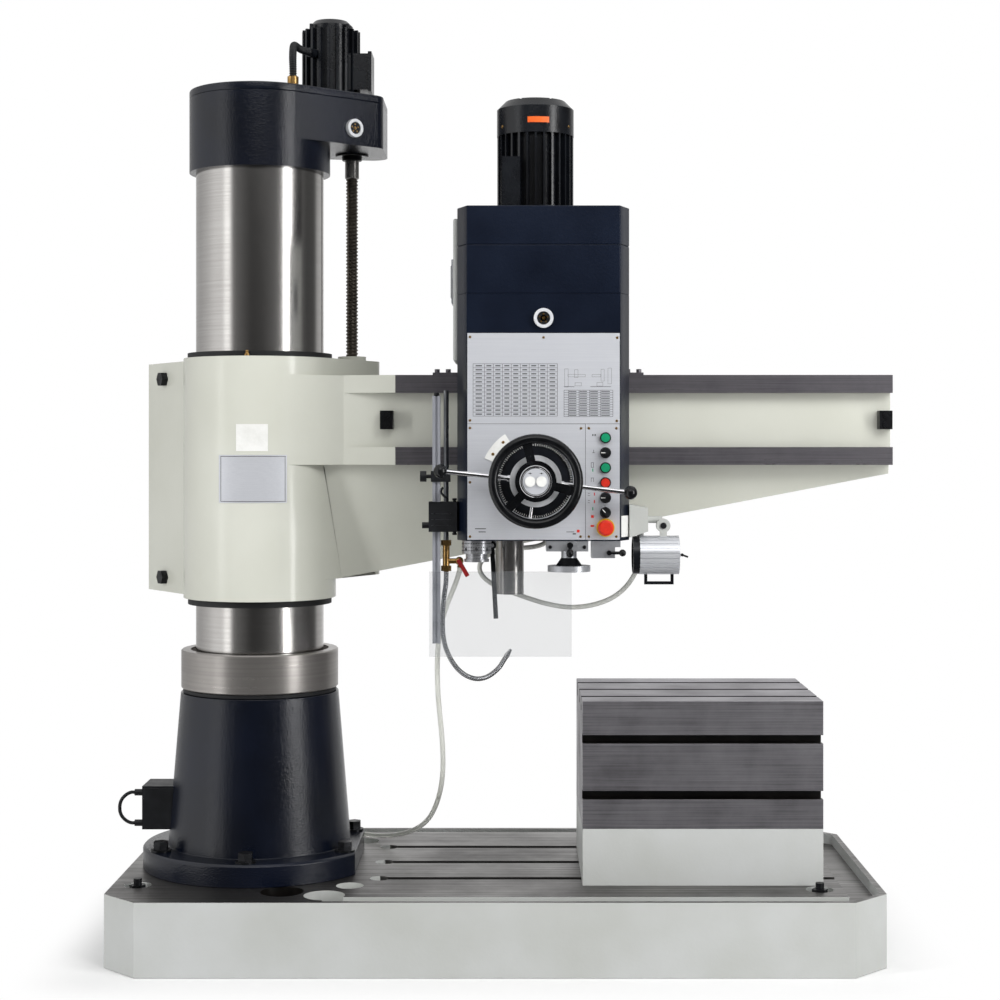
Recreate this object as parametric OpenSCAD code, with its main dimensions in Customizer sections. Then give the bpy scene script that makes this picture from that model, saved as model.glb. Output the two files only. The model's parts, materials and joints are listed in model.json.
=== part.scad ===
// Radial arm drill with a box table.
// The column axis stands on the floor at the origin, the arm points along +X and the operator stands at -Y.

/* [Base] */
// Length of the base along the arm
base_l = 2010; // [1960:10:2200]
// Depth of the base, front to back
base_d = 950; // [930:10:1100]
// Height of the base
base_h = 190; // [170:5:230]
// Reach of the base to the left of the column axis
base_left = 350; // [345:5:420]
// Size of the corner cuts of the base
base_corner = 95; // [60:5:110]
// Width of the T-slots in the base
base_slot_w = 28; // [18:1:34]
// Distance between the T-slots in the base
base_slot_pitch = 200; // [160:5:210]
// Radius of the sump hole in the base
sump_r = 56; // [40:1:58]

/* [Pedestal] */
// Radius of the pedestal flange
flange_r = 318; // [310:1:325]
// Height of the pedestal flange
flange_h = 60; // [40:1:80]
// Distance of the flat on the flange from the column axis
flange_flat = 276; // [272:1:300]
// Radius of the cone where it leaves the flange
cone_low_r = 250; // [235:1:252]
// Radius of the cone at its top
cone_top_r = 216; // [205:1:228]
// Height of the pedestal with its flange
pedestal_h = 476; // [440:2:540]
// Radius of the bolt circle on the flange
flange_bolt_circle = 286; // [284:1:290]

/* [Column] */
// Radius of the turning column
column_r = 175; // [170:1:180]
// Wall of the turning column
column_wall = 25; // [20:1:28]
// Length of the turning column
column_h = 1413; // [1400:1:1500]
// Radius of the turned ring at the foot of the column
ring_r = 215; // [200:1:225]
// Height of the turned ring at the foot of the column
ring_h = 105; // [80:1:115]
// Radius of the fixed post inside the column
post_r = 130; // [120:1:138]
// Wall of the fixed post inside the column
post_wall = 30; // [20:1:40]

/* [Arm] */
// Free column between the turned ring and the arm
arm_clear = 125; // [120:1:160]
// Radius of the arm's sleeve
sleeve_r = 209; // [204:1:215]
// Height of the arm's sleeve
sleeve_h = 656; // [620:2:700]
// Reach of the arm from the column axis
arm_reach = 1721; // [1700:1:1800]
// Height of the arm over both rails
arm_h = 242; // [230:1:260]
// Rise of the arm's lower rail above the foot of the sleeve
arm_rise = 365; // [350:1:390]
// Height of each rail
rail_h = 48; // [40:1:56]
// Half depth of the arm over its rails
arm_half = 150; // [140:1:158]
// Depth of the painted panel behind the rails
panel_recess = 35; // [25:1:45]
// Half depth of the web under the arm
web_half = 95; // [80:1:110]

/* [Lift drive] */
// Radius of the cap on the column
cap_r = 193; // [188:1:200]
// Height of the lift housing
housing_h = 202; // [180:1:230]
// Height of the lobe above the foot of the housing
lobe_rise = 78; // [60:1:90]
// Thickness of the lid
lid_h = 22; // [15:1:30]
// Place of the lift screw along the arm
screw_x = 241; // [238:1:246]
// Place of the lift screw behind the column axis
screw_y = 154; // [150:1:160]
// Radius of the lift screw
screw_r = 17; // [14:1:20]
// Radius of the lift motor over its fins
lift_motor_r = 82; // [70:1:86]
// Height of the lift motor's finned body
lift_motor_h = 199; // [170:1:230]

/* [Drill head] */
// Place of the drill head along the arm
head_x = 778; // [778:1:800]
// Width of the drill head
head_w = 442; // [436:1:448]
// Width of the head's front face
front_w = 391; // [388:1:396]
// Distance of the head's front face from the column axis
head_front = 430; // [425:1:440]
// Depth of the bevels beside the front face
bevel_d = 60; // [40:1:70]
// Drop of the head below the arm's lower rail
head_drop = 191; // [180:1:200]
// Height of the head casting
head_h = 629; // [620:1:650]
// Height of the gear cover
gear_cover_h = 125; // [100:1:150]
// Height of the top cover
top_cover_h = 99; // [80:1:120]
// Radius of the spindle motor over its fins
motor_r = 100; // [85:1:104]
// Height of the spindle motor's finned body
motor_h = 201; // [180:1:240]
// Height of the fan cowl on the spindle motor
cowl_h = 92; // [80:1:120]

/* [Spindle] */
// Radius of the quill
quill_r = 37.5; // [35:0.5:40]
// Length of the quill
quill_l = 560; // [540:1:570]
// Drop of the quill below the head
quill_drop = 97; // [90:1:110]
// Length of the spindle nose below the quill
nose_l = 49; // [40:1:60]
// Radius of the spindle shaft in the quill
spindle_r = 28; // [26:0.5:30]
// Radius of the taper socket at the spindle nose
socket_r = 22.2; // [18:0.1:23]
// Depth of the taper socket
socket_l = 129; // [110:1:140]

/* [Controls] */
// Outer radius of the handwheel
wheel_r = 118; // [110:1:125]
// Radius of the handwheel's rim tube
wheel_tube_r = 12; // [9:0.5:13]
// Radius of the feed hub's dial
dial_r = 95; // [85:1:100]
// Distance of the lever balls from the hub axis
lever_reach = 240; // [220:1:250]
// Radius of the lever balls
ball_r = 17.5; // [14:0.5:20]
// Radius of the button caps
cap_button_r = 11; // [9:0.5:12]
// Radius of the emergency stop's head
stop_r = 20; // [16:0.5:20]
// Radius of the speed dial
speed_dial_r = 38; // [30:1:40]
// Radius of the fine feed wheel
fine_wheel_r = 55; // [45:1:58]

/* [Box table] */
// Width of the box table
table_w = 630; // [600:5:640]
// Depth of the box table
table_d = 500; // [450:5:520]
// Height of the box table
table_h = 483; // [450:1:500]
// Distance of the box table from the column axis
table_x = 882; // [870:1:890]
// Width of the T-slots in the box table
table_slot_w = 22; // [14:1:24]

/* [Guard and coolant] */
// Width of the square guard post
guard_post_w = 20; // [16:0.5:20]
// Length of the guard post
guard_post_l = 637; // [600:1:660]
// Width of the clear shield
shield_w = 366; // [320:1:370]
// Height of the clear shield
shield_h = 218; // [180:1:220]
// Radius of the coolant pipe
pipe_r = 6.5; // [5:0.5:7]

/* [Lamp] */
// Radius of the lamp's finned body
lamp_r = 50; // [45:0.5:50]
// Length of the lamp's finned body
lamp_l = 102; // [90:1:110]
// Thickness of the lamp's bail
bail_w = 8; // [6:0.5:10]

/* [Hidden] */
$fn = 64;

// Shared clearances
overrun = 1;
// How far a straight side starts inside the round that it runs into
plan_tuck = 0.05;
run_fit = 0.05;
slide_gap = 0.4;
seat_gap = 0.1;

// Base details
base_slot_neck = 28;
base_slot_foot_w = 46;
base_slot_foot_h = 20;
base_slot_x = 345;
slot_entry_r = 26;
gutter_w = 86;
rim_t = 16;
base_core_x = 350;
base_core_wall = 75;
base_core_floor = 22;
base_core_end = 120;
groove_w = 46;
groove_depth = 30;
groove_x = 217;
groove_pocket_r = 53;
groove_pocket_in = 19;
sump_x = 104;
sump_y = 353;
sump_depth = 150;
spot_r = 36;
spot_depth = 25;
spare_anchor_x = 273;
spare_anchor_y = 285;
left_anchor_x = 283;
left_anchor_y = 280;
right_anchor_inset = 164;
right_anchor_y = 330;
anchor_hole_r = 13;
anchor_stud_r = 11;
anchor_stud_rise = 16;
anchor_foot = 8;
nut_af = 36;
nut_h = 22;
washer_r = 27;
washer_h = 5;
base_right = base_l - base_left;
platform_x = base_right - rim_t - gutter_w;
platform_half = base_d / 2 - rim_t - groove_w;
anchors = [
  [-left_anchor_x, -left_anchor_y],
  [-left_anchor_x, left_anchor_y],
  [base_right - right_anchor_inset, -right_anchor_y],
  [base_right - right_anchor_inset, right_anchor_y]
];

// Pedestal and column details
flange_edge = 6;
flange_bolts = 6;
flange_bolt_r = 12;
flange_bolt_l = 110;
flange_bolt_af = 36;
flange_bolt_head = 22;
bearing_h = 12;
bearing_w = 70;
race_h = 50;
race_low = 30;
race_top = 60;
ring_groove_w = 14;
ring_groove_h = 12;
ring_edge = 3;
pedestal_top = base_h + pedestal_h;
column_z = pedestal_top + bearing_h;
column_top = column_z + column_h;
column_bore = column_r - column_wall;
post_top = column_top - race_top;

// Box table details
table_back = 211;
table_slot_neck = 22;
table_slot_foot_w = 37;
table_slot_foot_h = 16;
table_slot_pitch = 150;
table_slot_in = 100;
table_front_slot_top = 100;
table_front_slot_pitch = 146;
table_wall = 70;
table_crown = 90;
table_floor = 30;
table_top = base_h + table_h;
table_front = table_back - table_d;
table_slot_y = table_back - table_slot_in;
table_front_slot_z = table_top - table_front_slot_top;

// Supply box and coolant pump details
supply_w = 95;
supply_d = 120;
supply_h = 118;
supply_rise = 102;
supply_edge = 4;
supply_reach = 65;
supply_left = -cone_low_r - supply_reach;
supply_lid_t = 8;
supply_gland_r = 9;
supply_gland_l = 27;
supply_gland_inset = 38;
supply_gland_pitch = 84;
supply_gland_rise = 11;
supply_gland_z = base_h + supply_rise + supply_gland_rise;
pump_x = 60;
pump_y = 392;
pump_r = 45;
pump_h = 165;
pump_foot_r = 58;
pump_foot_h = 12;
pump_cap_h = 18;
pump_barb_r = 5;
pump_barb_l = 26;
pump_barb_rise = 48;

// Lift drive details
housing_wall = 18;
spigot_h = 20;
lobe_corner = 45;
lobe_near = 50;
lobe_far = 210;
lobe_x = 293;
sight_r = 25;
sight_t = 12;
sight_glass_r = 17;
sight_rim_t = 4;
lift_sight_rise = 123;
lift_sight_along = 179;
screw_tail = 241;
screw_collar_r = 28;
screw_collar_h = 16;
screw_gear_r = 40;
screw_gear_h = 34;
lift_motor_x = 184;
lift_motor_y = 130;
lift_motor_core = 70;
lift_motor_fins = 20;
lift_fin_t = 7;
lift_end_r = 61.5;
lift_end_h = 28;
lift_foot_h = 14;
lift_box_w = 36;
lift_box_d = 95;
lift_box_h = 102;
lift_box_rise = 28;
lift_box_lip = 5;
lift_stud_r = 5;
lift_stud_h = 14;
lift_stud_circle = 72;
conduit_turn = 238.4;
conduit_rise = 125;
conduit_gland_r = 13;
conduit_gland_reach = 101;
gland_x = 105;
gland_y = 120;
gland_r = 15;
gland_h = 24;
gland_bore = 11;
housing_top = column_top + housing_h;
lid_top = housing_top + lid_h;

// Arm details
wiper_low_h = 17;
wiper_low_t = 22;
wiper_top_h = 14;
wiper_top_t = 23;
web_root = 52;
web_root_x = 225;
web_tip = 24;
web_foot = 20;
front_x = 238;
back_x = 335;
flare_x = 244;
rail_x = 383;
core_end = 45;
core_side = 30;
core_floor = 26;
boss_r = 50;
boss_along = 28;
nut_flange_r = 40;
nut_flange_h = 14;
nut_body_r = 32;
nut_body_l = 70;
screw_room = 8;
lug_turn = 124.4;
lug_face = 169;
lug_end = 371;
lug_t = 55;
lug_slit = 12;
lug_inset = 5;
lug_bolt_along = 256;
lug_bolt_inset = 46;
lug_bolt_r = 12;
lug_bolt_af = 36;
lug_bolt_head = 18;
stop_w = 35;
stop_h = 50;
stop_d = 34;
stop_left_x = 342;
stop_end = 0.5;
stop_bolt_r = 5;
stop_bolt_head_r = 8;
stop_bolt_head = 4;
sleeve_z = column_z + ring_h + arm_clear + wiper_low_h;
sleeve_top = sleeve_z + sleeve_h;
arm_z = sleeve_z + arm_rise;
arm_top = arm_z + arm_h;
web_root_z = sleeve_z + web_root;

// Drill head details
head_back = arm_half + slide_gap;
head_wall = 30;
head_floor = 40;
guide_boss_r = 62;
tongue_w = 380;
tongue_reach = 30;
tongue_room = 8;
saddle_reach = 44;
plate_t = 3;
plate_margin = 2;
chart_z = 297;
chart_h = 231;
plate_split = 106;
plate_gap = 1;
lower_plate_z = 3;
head_sight_rise = 566;
gib_left = 294;
gib_right = 273;
gib_t = 6;
gib_d = 60;
gib_bolt_r = 7;
gib_bolt_h = 10;
gib_bolt_inset = 11;
gib_bolt_pitch = 30;
motor_x = 759;
motor_y = -250;
motor_core = 86;
motor_fins = 28;
motor_fin_t = 5;
motor_foot_h = 12;
motor_box_w = 52;
motor_box_d = 46;
motor_box_h = 127;
motor_box_rise = 8;
motor_box_x = 41;
cowl_lip = 1;
cowl_edge = 22;
cowl_wall = 3;
cowl_holes = 6;
cowl_hole_w = 8;
cowl_hole_shares = [0.3, 0.82];
head_z = arm_z - head_drop;
cover_z = head_z + head_h;
top_cover_z = cover_z + gear_cover_h;
motor_z = top_cover_z + top_cover_h;
plate_face = -head_front - plate_t;

// Spindle details
spindle_x = 691;
spindle_y = -270;
spindle_tail = 130;
socket_taper = 0.0263;
drift_w = 12;
drift_h = 17;
drift_rise = 22;
quill_collar_r = 44;
quill_z = head_z - quill_drop;
nose_z = quill_z - nose_l;
quill_top = quill_z + quill_l;
spindle_top = quill_top + spindle_tail;

// Hub, handwheel and lever details
hub_x = 757;
hub_rise = 153;
stem_r = 20;
wheel_sleeve_r = 26;
feed_sleeve_r = 34;
sleeve_inset = 20;
stem_back = 20;
dial_gap = 4;
dial_t = 20;
dial_lip_w = 8;
dial_recess = 3;
hub_r = 55;
hub_l = 53;
hub_disc_r = 65;
hub_disc_t = 7;
lever_back = 22;
lever_r = 6.5;
lever_seat = 10;
lever_collar_r = 9;
lever_collar_l = 16;
lever_angles = [174, 353];
lock_r = 5;
lock_l = 16;
lock_bar_r = 4;
lock_bar_l = 34;
lock_radius = 78;
lock_angle = 262;
wheel_gap = 16;
wheel_hub_r = 51.5;
wheel_hub_t = 18;
spoke_w = 22;
spoke_t = 8;
spoke_inset = 5;
spoke_angles = [103, 225, 345];
hub_plate_r = 40;
hub_plate_t = 16;
hub_button_r = 13;
hub_button_pitch = 28;
hub_button_floor = 3;
hub_button_press = 4;
hub_button_proud = 5;
hub_z = head_z + hub_rise;
dial_back = plate_face - dial_gap;
hub_front = dial_back - dial_t - hub_l;
wheel_back = hub_front - hub_disc_t - wheel_gap;
wheel_front = wheel_back - wheel_hub_t;
hub_plate_front = wheel_front - slide_gap - hub_plate_t;

// Button column details
switch_x = 935;
switch_z = 34;
switch_pitch = 38;
bezel_r = 14;
bezel_h = 9;
bezel_floor = 1.5;
button_press = 3;
button_proud = 2;
selector_bar_w = 7;
selector_bar_h = 12;
stop_collar_r = 23;
stop_collar_h = 8;
stop_stem_r = 9;
stop_press = 5;
stop_head_h = 16;
stop_edge = 5;

// Parts under the head
speed_dial_x = 607;
speed_dial_y = -380;
speed_dial_h = 34;
speed_dial_gap = 0.5;
speed_stem_r = 15;
speed_stem_l = 24;
speed_neck_r = 28;
speed_neck_h = 14;
speed_foot_r = 32;
speed_foot_h = 7;
speed_dial_holes = 8;
speed_hole_r = 4;
speed_hole_depth = 6;
speed_hole_rise = 12;
fine_box_x = 785;
fine_box_w = 107;
fine_box_d = 96;
fine_box_h = 27;
fine_box_y = -428;
fine_x = 844;
fine_y = -380;
fine_neck_r = 20;
fine_neck_h = 18;
fine_cone_r = 34;
fine_cone_h = 20;
fine_rim_h = 15;
fine_rim_w = 8;
fine_web_h = 6;
fine_shaft_r = 8;
fine_shaft_l = 20;
shift_box_x = 900;
shift_box_w = 74;
shift_box_d = 60;
shift_box_h = 16;
shift_box_y = -428;
shift_step_w = 60;
shift_step_h = 28;
shift_x = 944;
shift_pin_r = 6;
shift_pin_l = 20;
shift_arm_r = 4;
shift_arm_l = 34;
shift_ball_r = 9;
shift_reach = 14;
shift_lever_z = head_z - shift_box_h - shift_step_h / 2;
spindle_lever_x = 646;
spindle_lever_y = -330;
lever_lug_r = 11;
lever_lug_d = 14;
lever_pin_r = 5;
lever_bar_w = 12;
lever_bar_t = 8;
lever_bar_l = 190;
lever_bar_thin = 1;
lever_bar_lean = 3;
lever_pivot_drop = 16;

// Guard and coolant details
guard_x = 503;
guard_y = -360;
guard_drop = 267;
post_slot_w = 6;
post_slot_d = 5;
bracket_z = 21;
bracket_h = 77;
bracket_d = 58;
bracket_left = 19;
bracket_rib_h = 16;
wing_r = 8;
wing_l = 18;
clamp_z = 149;
clamp_h = 28;
clamp_d = 30;
clamp_left = 14;
clamp_right = 36;
clamp_knob_r = 14;
clamp_knob_l = 16;
clamp_stem_r = 5;
clamp_stem_l = 12;
pipe_x = 528;
pipe_up = 384;
pipe_down = 10;
shield_t = 4;
shield_left = 18;
shield_down = 33;
shield_bolt_r = 6;
shield_bolt_h = 5;
shield_bolt_shares = [0.4, 0.85];
tee_r = 9;
tee_l = 80;
tee_socket = 8;
tee_nut_af = 23;
tee_nut_h = 14;
tee_drop = 1;
branch_drop = 55;
branch_r = 7;
branch_l = 34;
valve_r = 11;
valve_stem_r = 4;
valve_stem_l = 22;
valve_grip_w = 11;
valve_grip_t = 4;
valve_grip_l = 44;
valve_grip_turn = -60;
barb_r = 5;
barb_l = 14.5;
nozzle_r = 7.5;
nozzle_tip_r = 3.5;
nozzle_l = 22;
nozzle_turn = atan2(9, 14);

// Lamp details
lamp_y = -350;
lamp_bracket_w = 48;
lamp_bracket_tall = 85;
lamp_bracket_low = 60;
lamp_bracket_rise = 6;
lamp_bracket_nose = 16;
lamp_bracket_front = 385;
lamp_bracket_back = 276;
lamp_stem_r = 9;
lamp_stem_l = 40;
lamp_stem_rise = 51;
knuckle_r = 18;
knuckle_t = 12;
knuckle_along = 41;
knuckle_drop = 15;
knuckle_pin_r = 5;
knuckle_cap_r = 8;
lamp_neck_w = 18;
lamp_drop = 76;
lamp_back = 11;
lamp_fins = 24;
lamp_fin_w = 6;
lamp_fin_d = 2;
lamp_rim_l = 17;
lamp_rim_t = 6;
lamp_lens_t = 4;
lamp_lens_set = 8;
bail_l = 76;
bail_drop = 26;
bail_inset = 6;
lamp_nut_r = 6;
lamp_nut_l = 5;
toggle_r = 2.5;
toggle_l = 16;
toggle_ball_r = 4;
toggle_turn = 20;
lamp_gland_r = 9;
lamp_gland_h = 14;
lamp_gland_x = 34;
lamp_gland_y = 288;
lamp_bracket_x = head_x + head_w / 2;
knuckle_x = lamp_bracket_x + lamp_bracket_w + knuckle_along;
knuckle_z = head_z + lamp_stem_rise - knuckle_drop;
lamp_z = knuckle_z - lamp_drop;
lamp_x = knuckle_x - lamp_back;

// Free cords: diameters and routes, with the points chosen along each run
cord_sides = 8;
supply_cable_r = 5;
supply_hose_r = 6.5;
lamp_conduit_r = 6.5;
coolant_hose_r = 6.8;
coolant_hose_bore = 4.5;
coolant_hose_ribs = 84;
coolant_rib_depth = 0.9;
motor_conduit_r = 10.5;
motor_conduit_bore = 7.5;
motor_conduit_ribs = 38;
conduit_rib_depth = 1.6;
bore_stride = 7;

supply_cable_route = [
  [-342, -22, 387], [-352, -22, 387], [-362, -23, 383], [-371, -24, 376], [-378, -25, 367],
  [-382, -26, 356], [-383, -26, 345], [-382, -26, 334], [-378, -25, 323], [-371, -24, 314],
  [-362, -23, 307], [-352, -22, 303], [-342, -22, 303]
];
supply_hose_route = [
  [562, -345, 1029], [562, -338, 1021], [558, -331, 1004], [549, -325, 978], [535, -319, 944],
  [522, -314, 908], [512, -310, 870], [506, -307, 830], [503, -303, 780], [503, -298, 730],
  [505, -290, 680], [509, -279, 630], [513, -264, 580], [515, -245, 530], [514, -220, 482],
  [509, -188, 438], [500, -148, 397], [487, -102, 358], [470, -50, 322], [448, 5, 292],
  [422, 62, 267], [394, 118, 247], [366, 172, 231], [338, 224, 218], [308, 272, 208],
  [276, 314, 202], [242, 347, 203], [206, 371, 211], [177, 385, 224], [156, 391, 234],
  [142, 392, 238], [131, 392, 238]
];
lamp_conduit_route = [
  [790, -186, 1099], [790, -186, 1090], [780, -188, 1079], [755, -192, 1072], [722, -195, 1069],
  [690, -198, 1066], [658, -201, 1060], [630, -204, 1048], [614, -206, 1030], [612, -208, 1010],
  [624, -209, 990], [646, -210, 974], [676, -210, 960], [708, -211, 948], [742, -212, 936],
  [778, -213, 925], [814, -214, 917], [850, -216, 913], [886, -219, 915], [920, -224, 922],
  [952, -230, 934], [980, -239, 952], [1003, -250, 976], [1020, -263, 1005], [1030, -276, 1036],
  [1033, -285, 1062], [1033, -288, 1080], [1033, -288, 1091]
];
coolant_hose_route = [
  [528, -360, 1018], [528, -360, 1003], [527, -357, 984], [524, -351, 964], [521, -344, 942],
  [519, -339, 918], [518, -336, 894], [518, -335, 869], [520, -335, 845], [525, -335, 821],
  [534, -335, 798], [546, -335, 777], [562, -335, 758], [582, -334, 744], [605, -332, 737],
  [628, -331, 740], [648, -330, 751], [665, -330, 767], [674, -330, 781], [683, -330, 795]
];
motor_conduit_route = [
  [105, -120, 2339], [105, -120, 2361], [104, -116, 2382], [103, -107, 2401], [102, -92, 2419],
  [101, -72, 2432], [101, -50, 2439], [103, -28, 2441], [107, -7, 2441], [113, 13, 2440],
  [122, 29, 2440], [131, 44, 2440]
];

// Helpers

// Right angle bar between two corners
module bar(low, high) {
  translate(low) cube(high - low);
}

// Flat ring standing on its foot
module tube(r_out, r_in, h) {
  difference() {
    cylinder(r = r_out, h = h);
    translate([0, 0, -overrun]) cylinder(r = r_in, h = h + 2 * overrun);
  }
}

// Puts a shape drawn on the floor upright, with its height towards the operator
module to_front(x, y, z) {
  translate([x, y, z]) rotate([90, 0, 0]) children();
}

// Cylinder along +X
module rod_x(r, l) {
  rotate([0, 90, 0]) cylinder(r = r, h = l);
}

// Six sided head, measured across its flats
module hex_head(af, h) {
  cylinder(r = af / sqrt(3), h = h, $fn = 6);
}

// Round slab with a bevelled top edge
module bevelled_disc(r, h, edge) {
  rotate_extrude() polygon([[0, 0], [r, 0], [r, h - edge], [r - edge, h], [0, h]]);
}

// Direction of the line that touches two circles, as the angle of its outward normal
function touch_angle(a, ra, b, rb, side) =
  atan2(b.y - a.y, b.x - a.x) + side * acos((ra - rb) / norm(b - a));
function polar(c, r, angle) = c + r * [cos(angle), sin(angle)];
function tucked(c, r, angle) = polar(c, r - plan_tuck, angle);

// Smooth curve through a route and its moving frame
function spline(p, t) =
  let(n = len(p) - 1, i = min(floor(t), n - 1), u = t - i)
  let(a = p[max(i - 1, 0)], b = p[i], c = p[i + 1], d = p[min(i + 2, n)])
  b + (u * (c - a) + u * u * (2 * a - 5 * b + 4 * c - d) + u * u * u * (3 * b - a - 3 * c + d)) / 2;
function spread(p, steps) = [for (k = [0:steps]) spline(p, k * (len(p) - 1) / steps)];
function unit(v) = v / norm(v);
function headings(q) = [for (i = [0:len(q) - 1]) unit(q[min(i + 1, len(q) - 1)] - q[max(i - 1, 0)])];
function square_to(n, d) = unit(n - d * (n * d));
function sides_of(d, out) =
  len(out) == len(d) ? out : sides_of(d, concat(out, [square_to(out[len(out) - 1], d[len(out)])]));
function ring_of(c, d, n, r) =
  [for (k = [0:cord_sides - 1]) let(a = k * 360 / cord_sides) c + r * (cos(a) * n + sin(a) * cross(d, n))];
function flatten(l) = [for (a = l) each a];
function wall_faces(rings, from, flip) = [
  for (i = [0:rings - 2], k = [0:cord_sides - 1])
    let(a = from + i * cord_sides + k, b = from + i * cord_sides + (k + 1) % cord_sides)
    let(c = b + cord_sides, d = a + cord_sides)
    each flip ? [[a, c, d], [a, b, c]] : [[a, d, c], [a, c, b]]
];

// Plain round cord along a route
module cord(route, r, start) {
  d = headings(route);
  n = sides_of(d, [square_to(start, d[0])]);
  last = (len(route) - 1) * cord_sides;
  polyhedron(
    flatten([for (i = [0:len(route) - 1]) ring_of(route[i], d[i], n[i], r)]),
    concat(
      wall_faces(len(route), 0, false),
      [for (k = [1:cord_sides - 2]) [0, k, k + 1]],
      [for (k = [1:cord_sides - 2]) [last, last + k + 1, last + k]]
    )
  );
}

// Ribbed hose along a route, with its bore
module ribbed_hose(route, ribs, r, depth, bore, start) {
  q = spread(route, 2 * ribs);
  d = headings(q);
  n = sides_of(d, [square_to(start, d[0])]);
  inner = [for (i = [0:len(q) - 1]) if (i % bore_stride == 0 || i == len(q) - 1) i];
  outer_points = [for (i = [0:len(q) - 1]) ring_of(q[i], d[i], n[i], i % 2 == 0 ? r - depth : r)];
  bore_points = [for (i = inner) ring_of(q[i], d[i], n[i], bore)];
  first = len(q) * cord_sides;
  out_end = first - cord_sides;
  bore_end = first + (len(inner) - 1) * cord_sides;
  polyhedron(
    flatten(concat(outer_points, bore_points)),
    concat(
      wall_faces(len(q), 0, false),
      wall_faces(len(inner), first, true),
      [for (k = [0:cord_sides - 1]) let(m = (k + 1) % cord_sides)
        each [[k, m, first + m], [k, first + m, first + k]]],
      [for (k = [0:cord_sides - 1]) let(m = (k + 1) % cord_sides)
        each [[out_end + k, bore_end + m, out_end + m], [out_end + k, bore_end + k, bore_end + m]]]
    )
  );
}

// Base

// Outline of the base, drawn in by a margin
module base_outline(margin) {
  cut = base_corner - margin * (2 - sqrt(2));
  x0 = margin - base_left;
  x1 = base_right - margin;
  y1 = base_d / 2 - margin;
  polygon([
    [x0 + cut, -y1], [x1 - cut, -y1], [x1, cut - y1], [x1, y1 - cut],
    [x1 - cut, y1], [x0 + cut, y1], [x0, y1 - cut], [x0, cut - y1]
  ]);
}

// T-slot along +X, cut down from a top face
module t_slot(l, w, neck, foot_w, foot_h) {
  bar([0, -w / 2, -neck - foot_h], [l, w / 2, overrun]);
  bar([0, -foot_w / 2, -neck - foot_h], [l, foot_w / 2, -neck]);
}

module base_casting() {
  slot_depth = base_slot_neck + base_slot_foot_h;
  color("gainsboro") difference() {
    linear_extrude(base_h) base_outline(0);
    translate([0, 0, base_h - groove_depth]) linear_extrude(groove_depth + overrun) difference() {
      intersection() {
        base_outline(rim_t);
        translate([groove_x, -base_d / 2]) square([base_l, base_d]);
      }
      translate([-base_l, -platform_half]) square([base_l + platform_x, 2 * platform_half]);
    }
    for (row = [-1:1]) {
      translate([base_slot_x, row * base_slot_pitch, base_h])
        t_slot(platform_x - base_slot_x + overrun, base_slot_w, base_slot_neck, base_slot_foot_w,
          base_slot_foot_h);
      translate([base_slot_x, row * base_slot_pitch, base_h - slot_depth])
        cylinder(r = slot_entry_r, h = slot_depth + overrun);
    }
    for (side = [-1, 1]) {
      translate([groove_x, side * (platform_half - groove_pocket_in), base_h - groove_depth])
        cylinder(r = groove_pocket_r, h = groove_depth + overrun);
      translate([spare_anchor_x, side * spare_anchor_y, base_h - spot_depth])
        cylinder(r = spot_r, h = spot_depth + overrun);
      translate([spare_anchor_x, side * spare_anchor_y, -overrun])
        cylinder(r = anchor_hole_r, h = base_h + overrun);
    }
    translate([sump_x, -sump_y, base_h - sump_depth]) cylinder(r = sump_r, h = sump_depth + overrun);
    bar([base_core_x, base_core_wall - base_d / 2, base_core_floor],
      [platform_x - base_core_end, base_d / 2 - base_core_wall, base_h - slot_depth - base_core_floor]);
    for (p = anchors) {
      translate([p.x, p.y, base_h - spot_depth]) cylinder(r = spot_r, h = spot_depth + overrun);
      translate([p.x, p.y, -overrun]) cylinder(r = anchor_stud_r + seat_gap, h = base_h + overrun);
    }
    flange_bolt_places(base_h - flange_bolt_l + flange_h - overrun)
      cylinder(r = flange_bolt_r + seat_gap, h = flange_bolt_l);
  }
}

// Puts a shape at each bolt of the pedestal flange
module flange_bolt_places(z) {
  for (k = [0:flange_bolts - 1])
    rotate([0, 0, (k + 0.5) * 360 / flange_bolts]) translate([flange_bolt_circle, 0, z]) children();
}

// Cone of the pedestal with a margin all round
module pedestal_cone(margin) {
  translate([0, 0, base_h + flange_h]) cylinder(
    r1 = cone_low_r + margin, r2 = cone_top_r + margin, h = pedestal_h - flange_h);
}

module pedestal() {
  color("#1f2530") difference() {
    translate([0, 0, base_h]) rotate_extrude() polygon([
      [post_r, 0], [flange_r, 0], [flange_r, flange_h - flange_edge], [flange_r - flange_edge, flange_h],
      [cone_low_r, flange_h], [cone_top_r, pedestal_h], [post_r, pedestal_h]
    ]);
    bar([flange_flat, -flange_r, base_h - overrun], [2 * flange_r, flange_r, base_h + flange_h + overrun]);
    flange_bolt_places(base_h - overrun) cylinder(r = flange_bolt_r + seat_gap, h = flange_h + 2 * overrun);
  }
}

module base_bolts() {
  color("#15171a") {
    flange_bolt_places(base_h + flange_h) {
      cylinder(r = washer_r, h = washer_h);
      translate([0, 0, washer_h]) hex_head(flange_bolt_af, flange_bolt_head);
      translate([0, 0, -flange_bolt_l]) cylinder(r = flange_bolt_r, h = flange_bolt_l + washer_h);
    }
    for (p = anchors) translate([p.x, p.y, base_h - spot_depth]) {
      cylinder(r = washer_r, h = washer_h);
      translate([0, 0, washer_h]) hex_head(nut_af, nut_h);
      translate([0, 0, anchor_foot + spot_depth - base_h]) cylinder(
        r = anchor_stud_r, h = base_h - spot_depth - anchor_foot + washer_h + nut_h + anchor_stud_rise);
    }
  }
}

module inner_column() {
  color("dimgray") translate([0, 0, base_h]) tube(post_r, post_r - post_wall, post_top - base_h);
}

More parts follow.
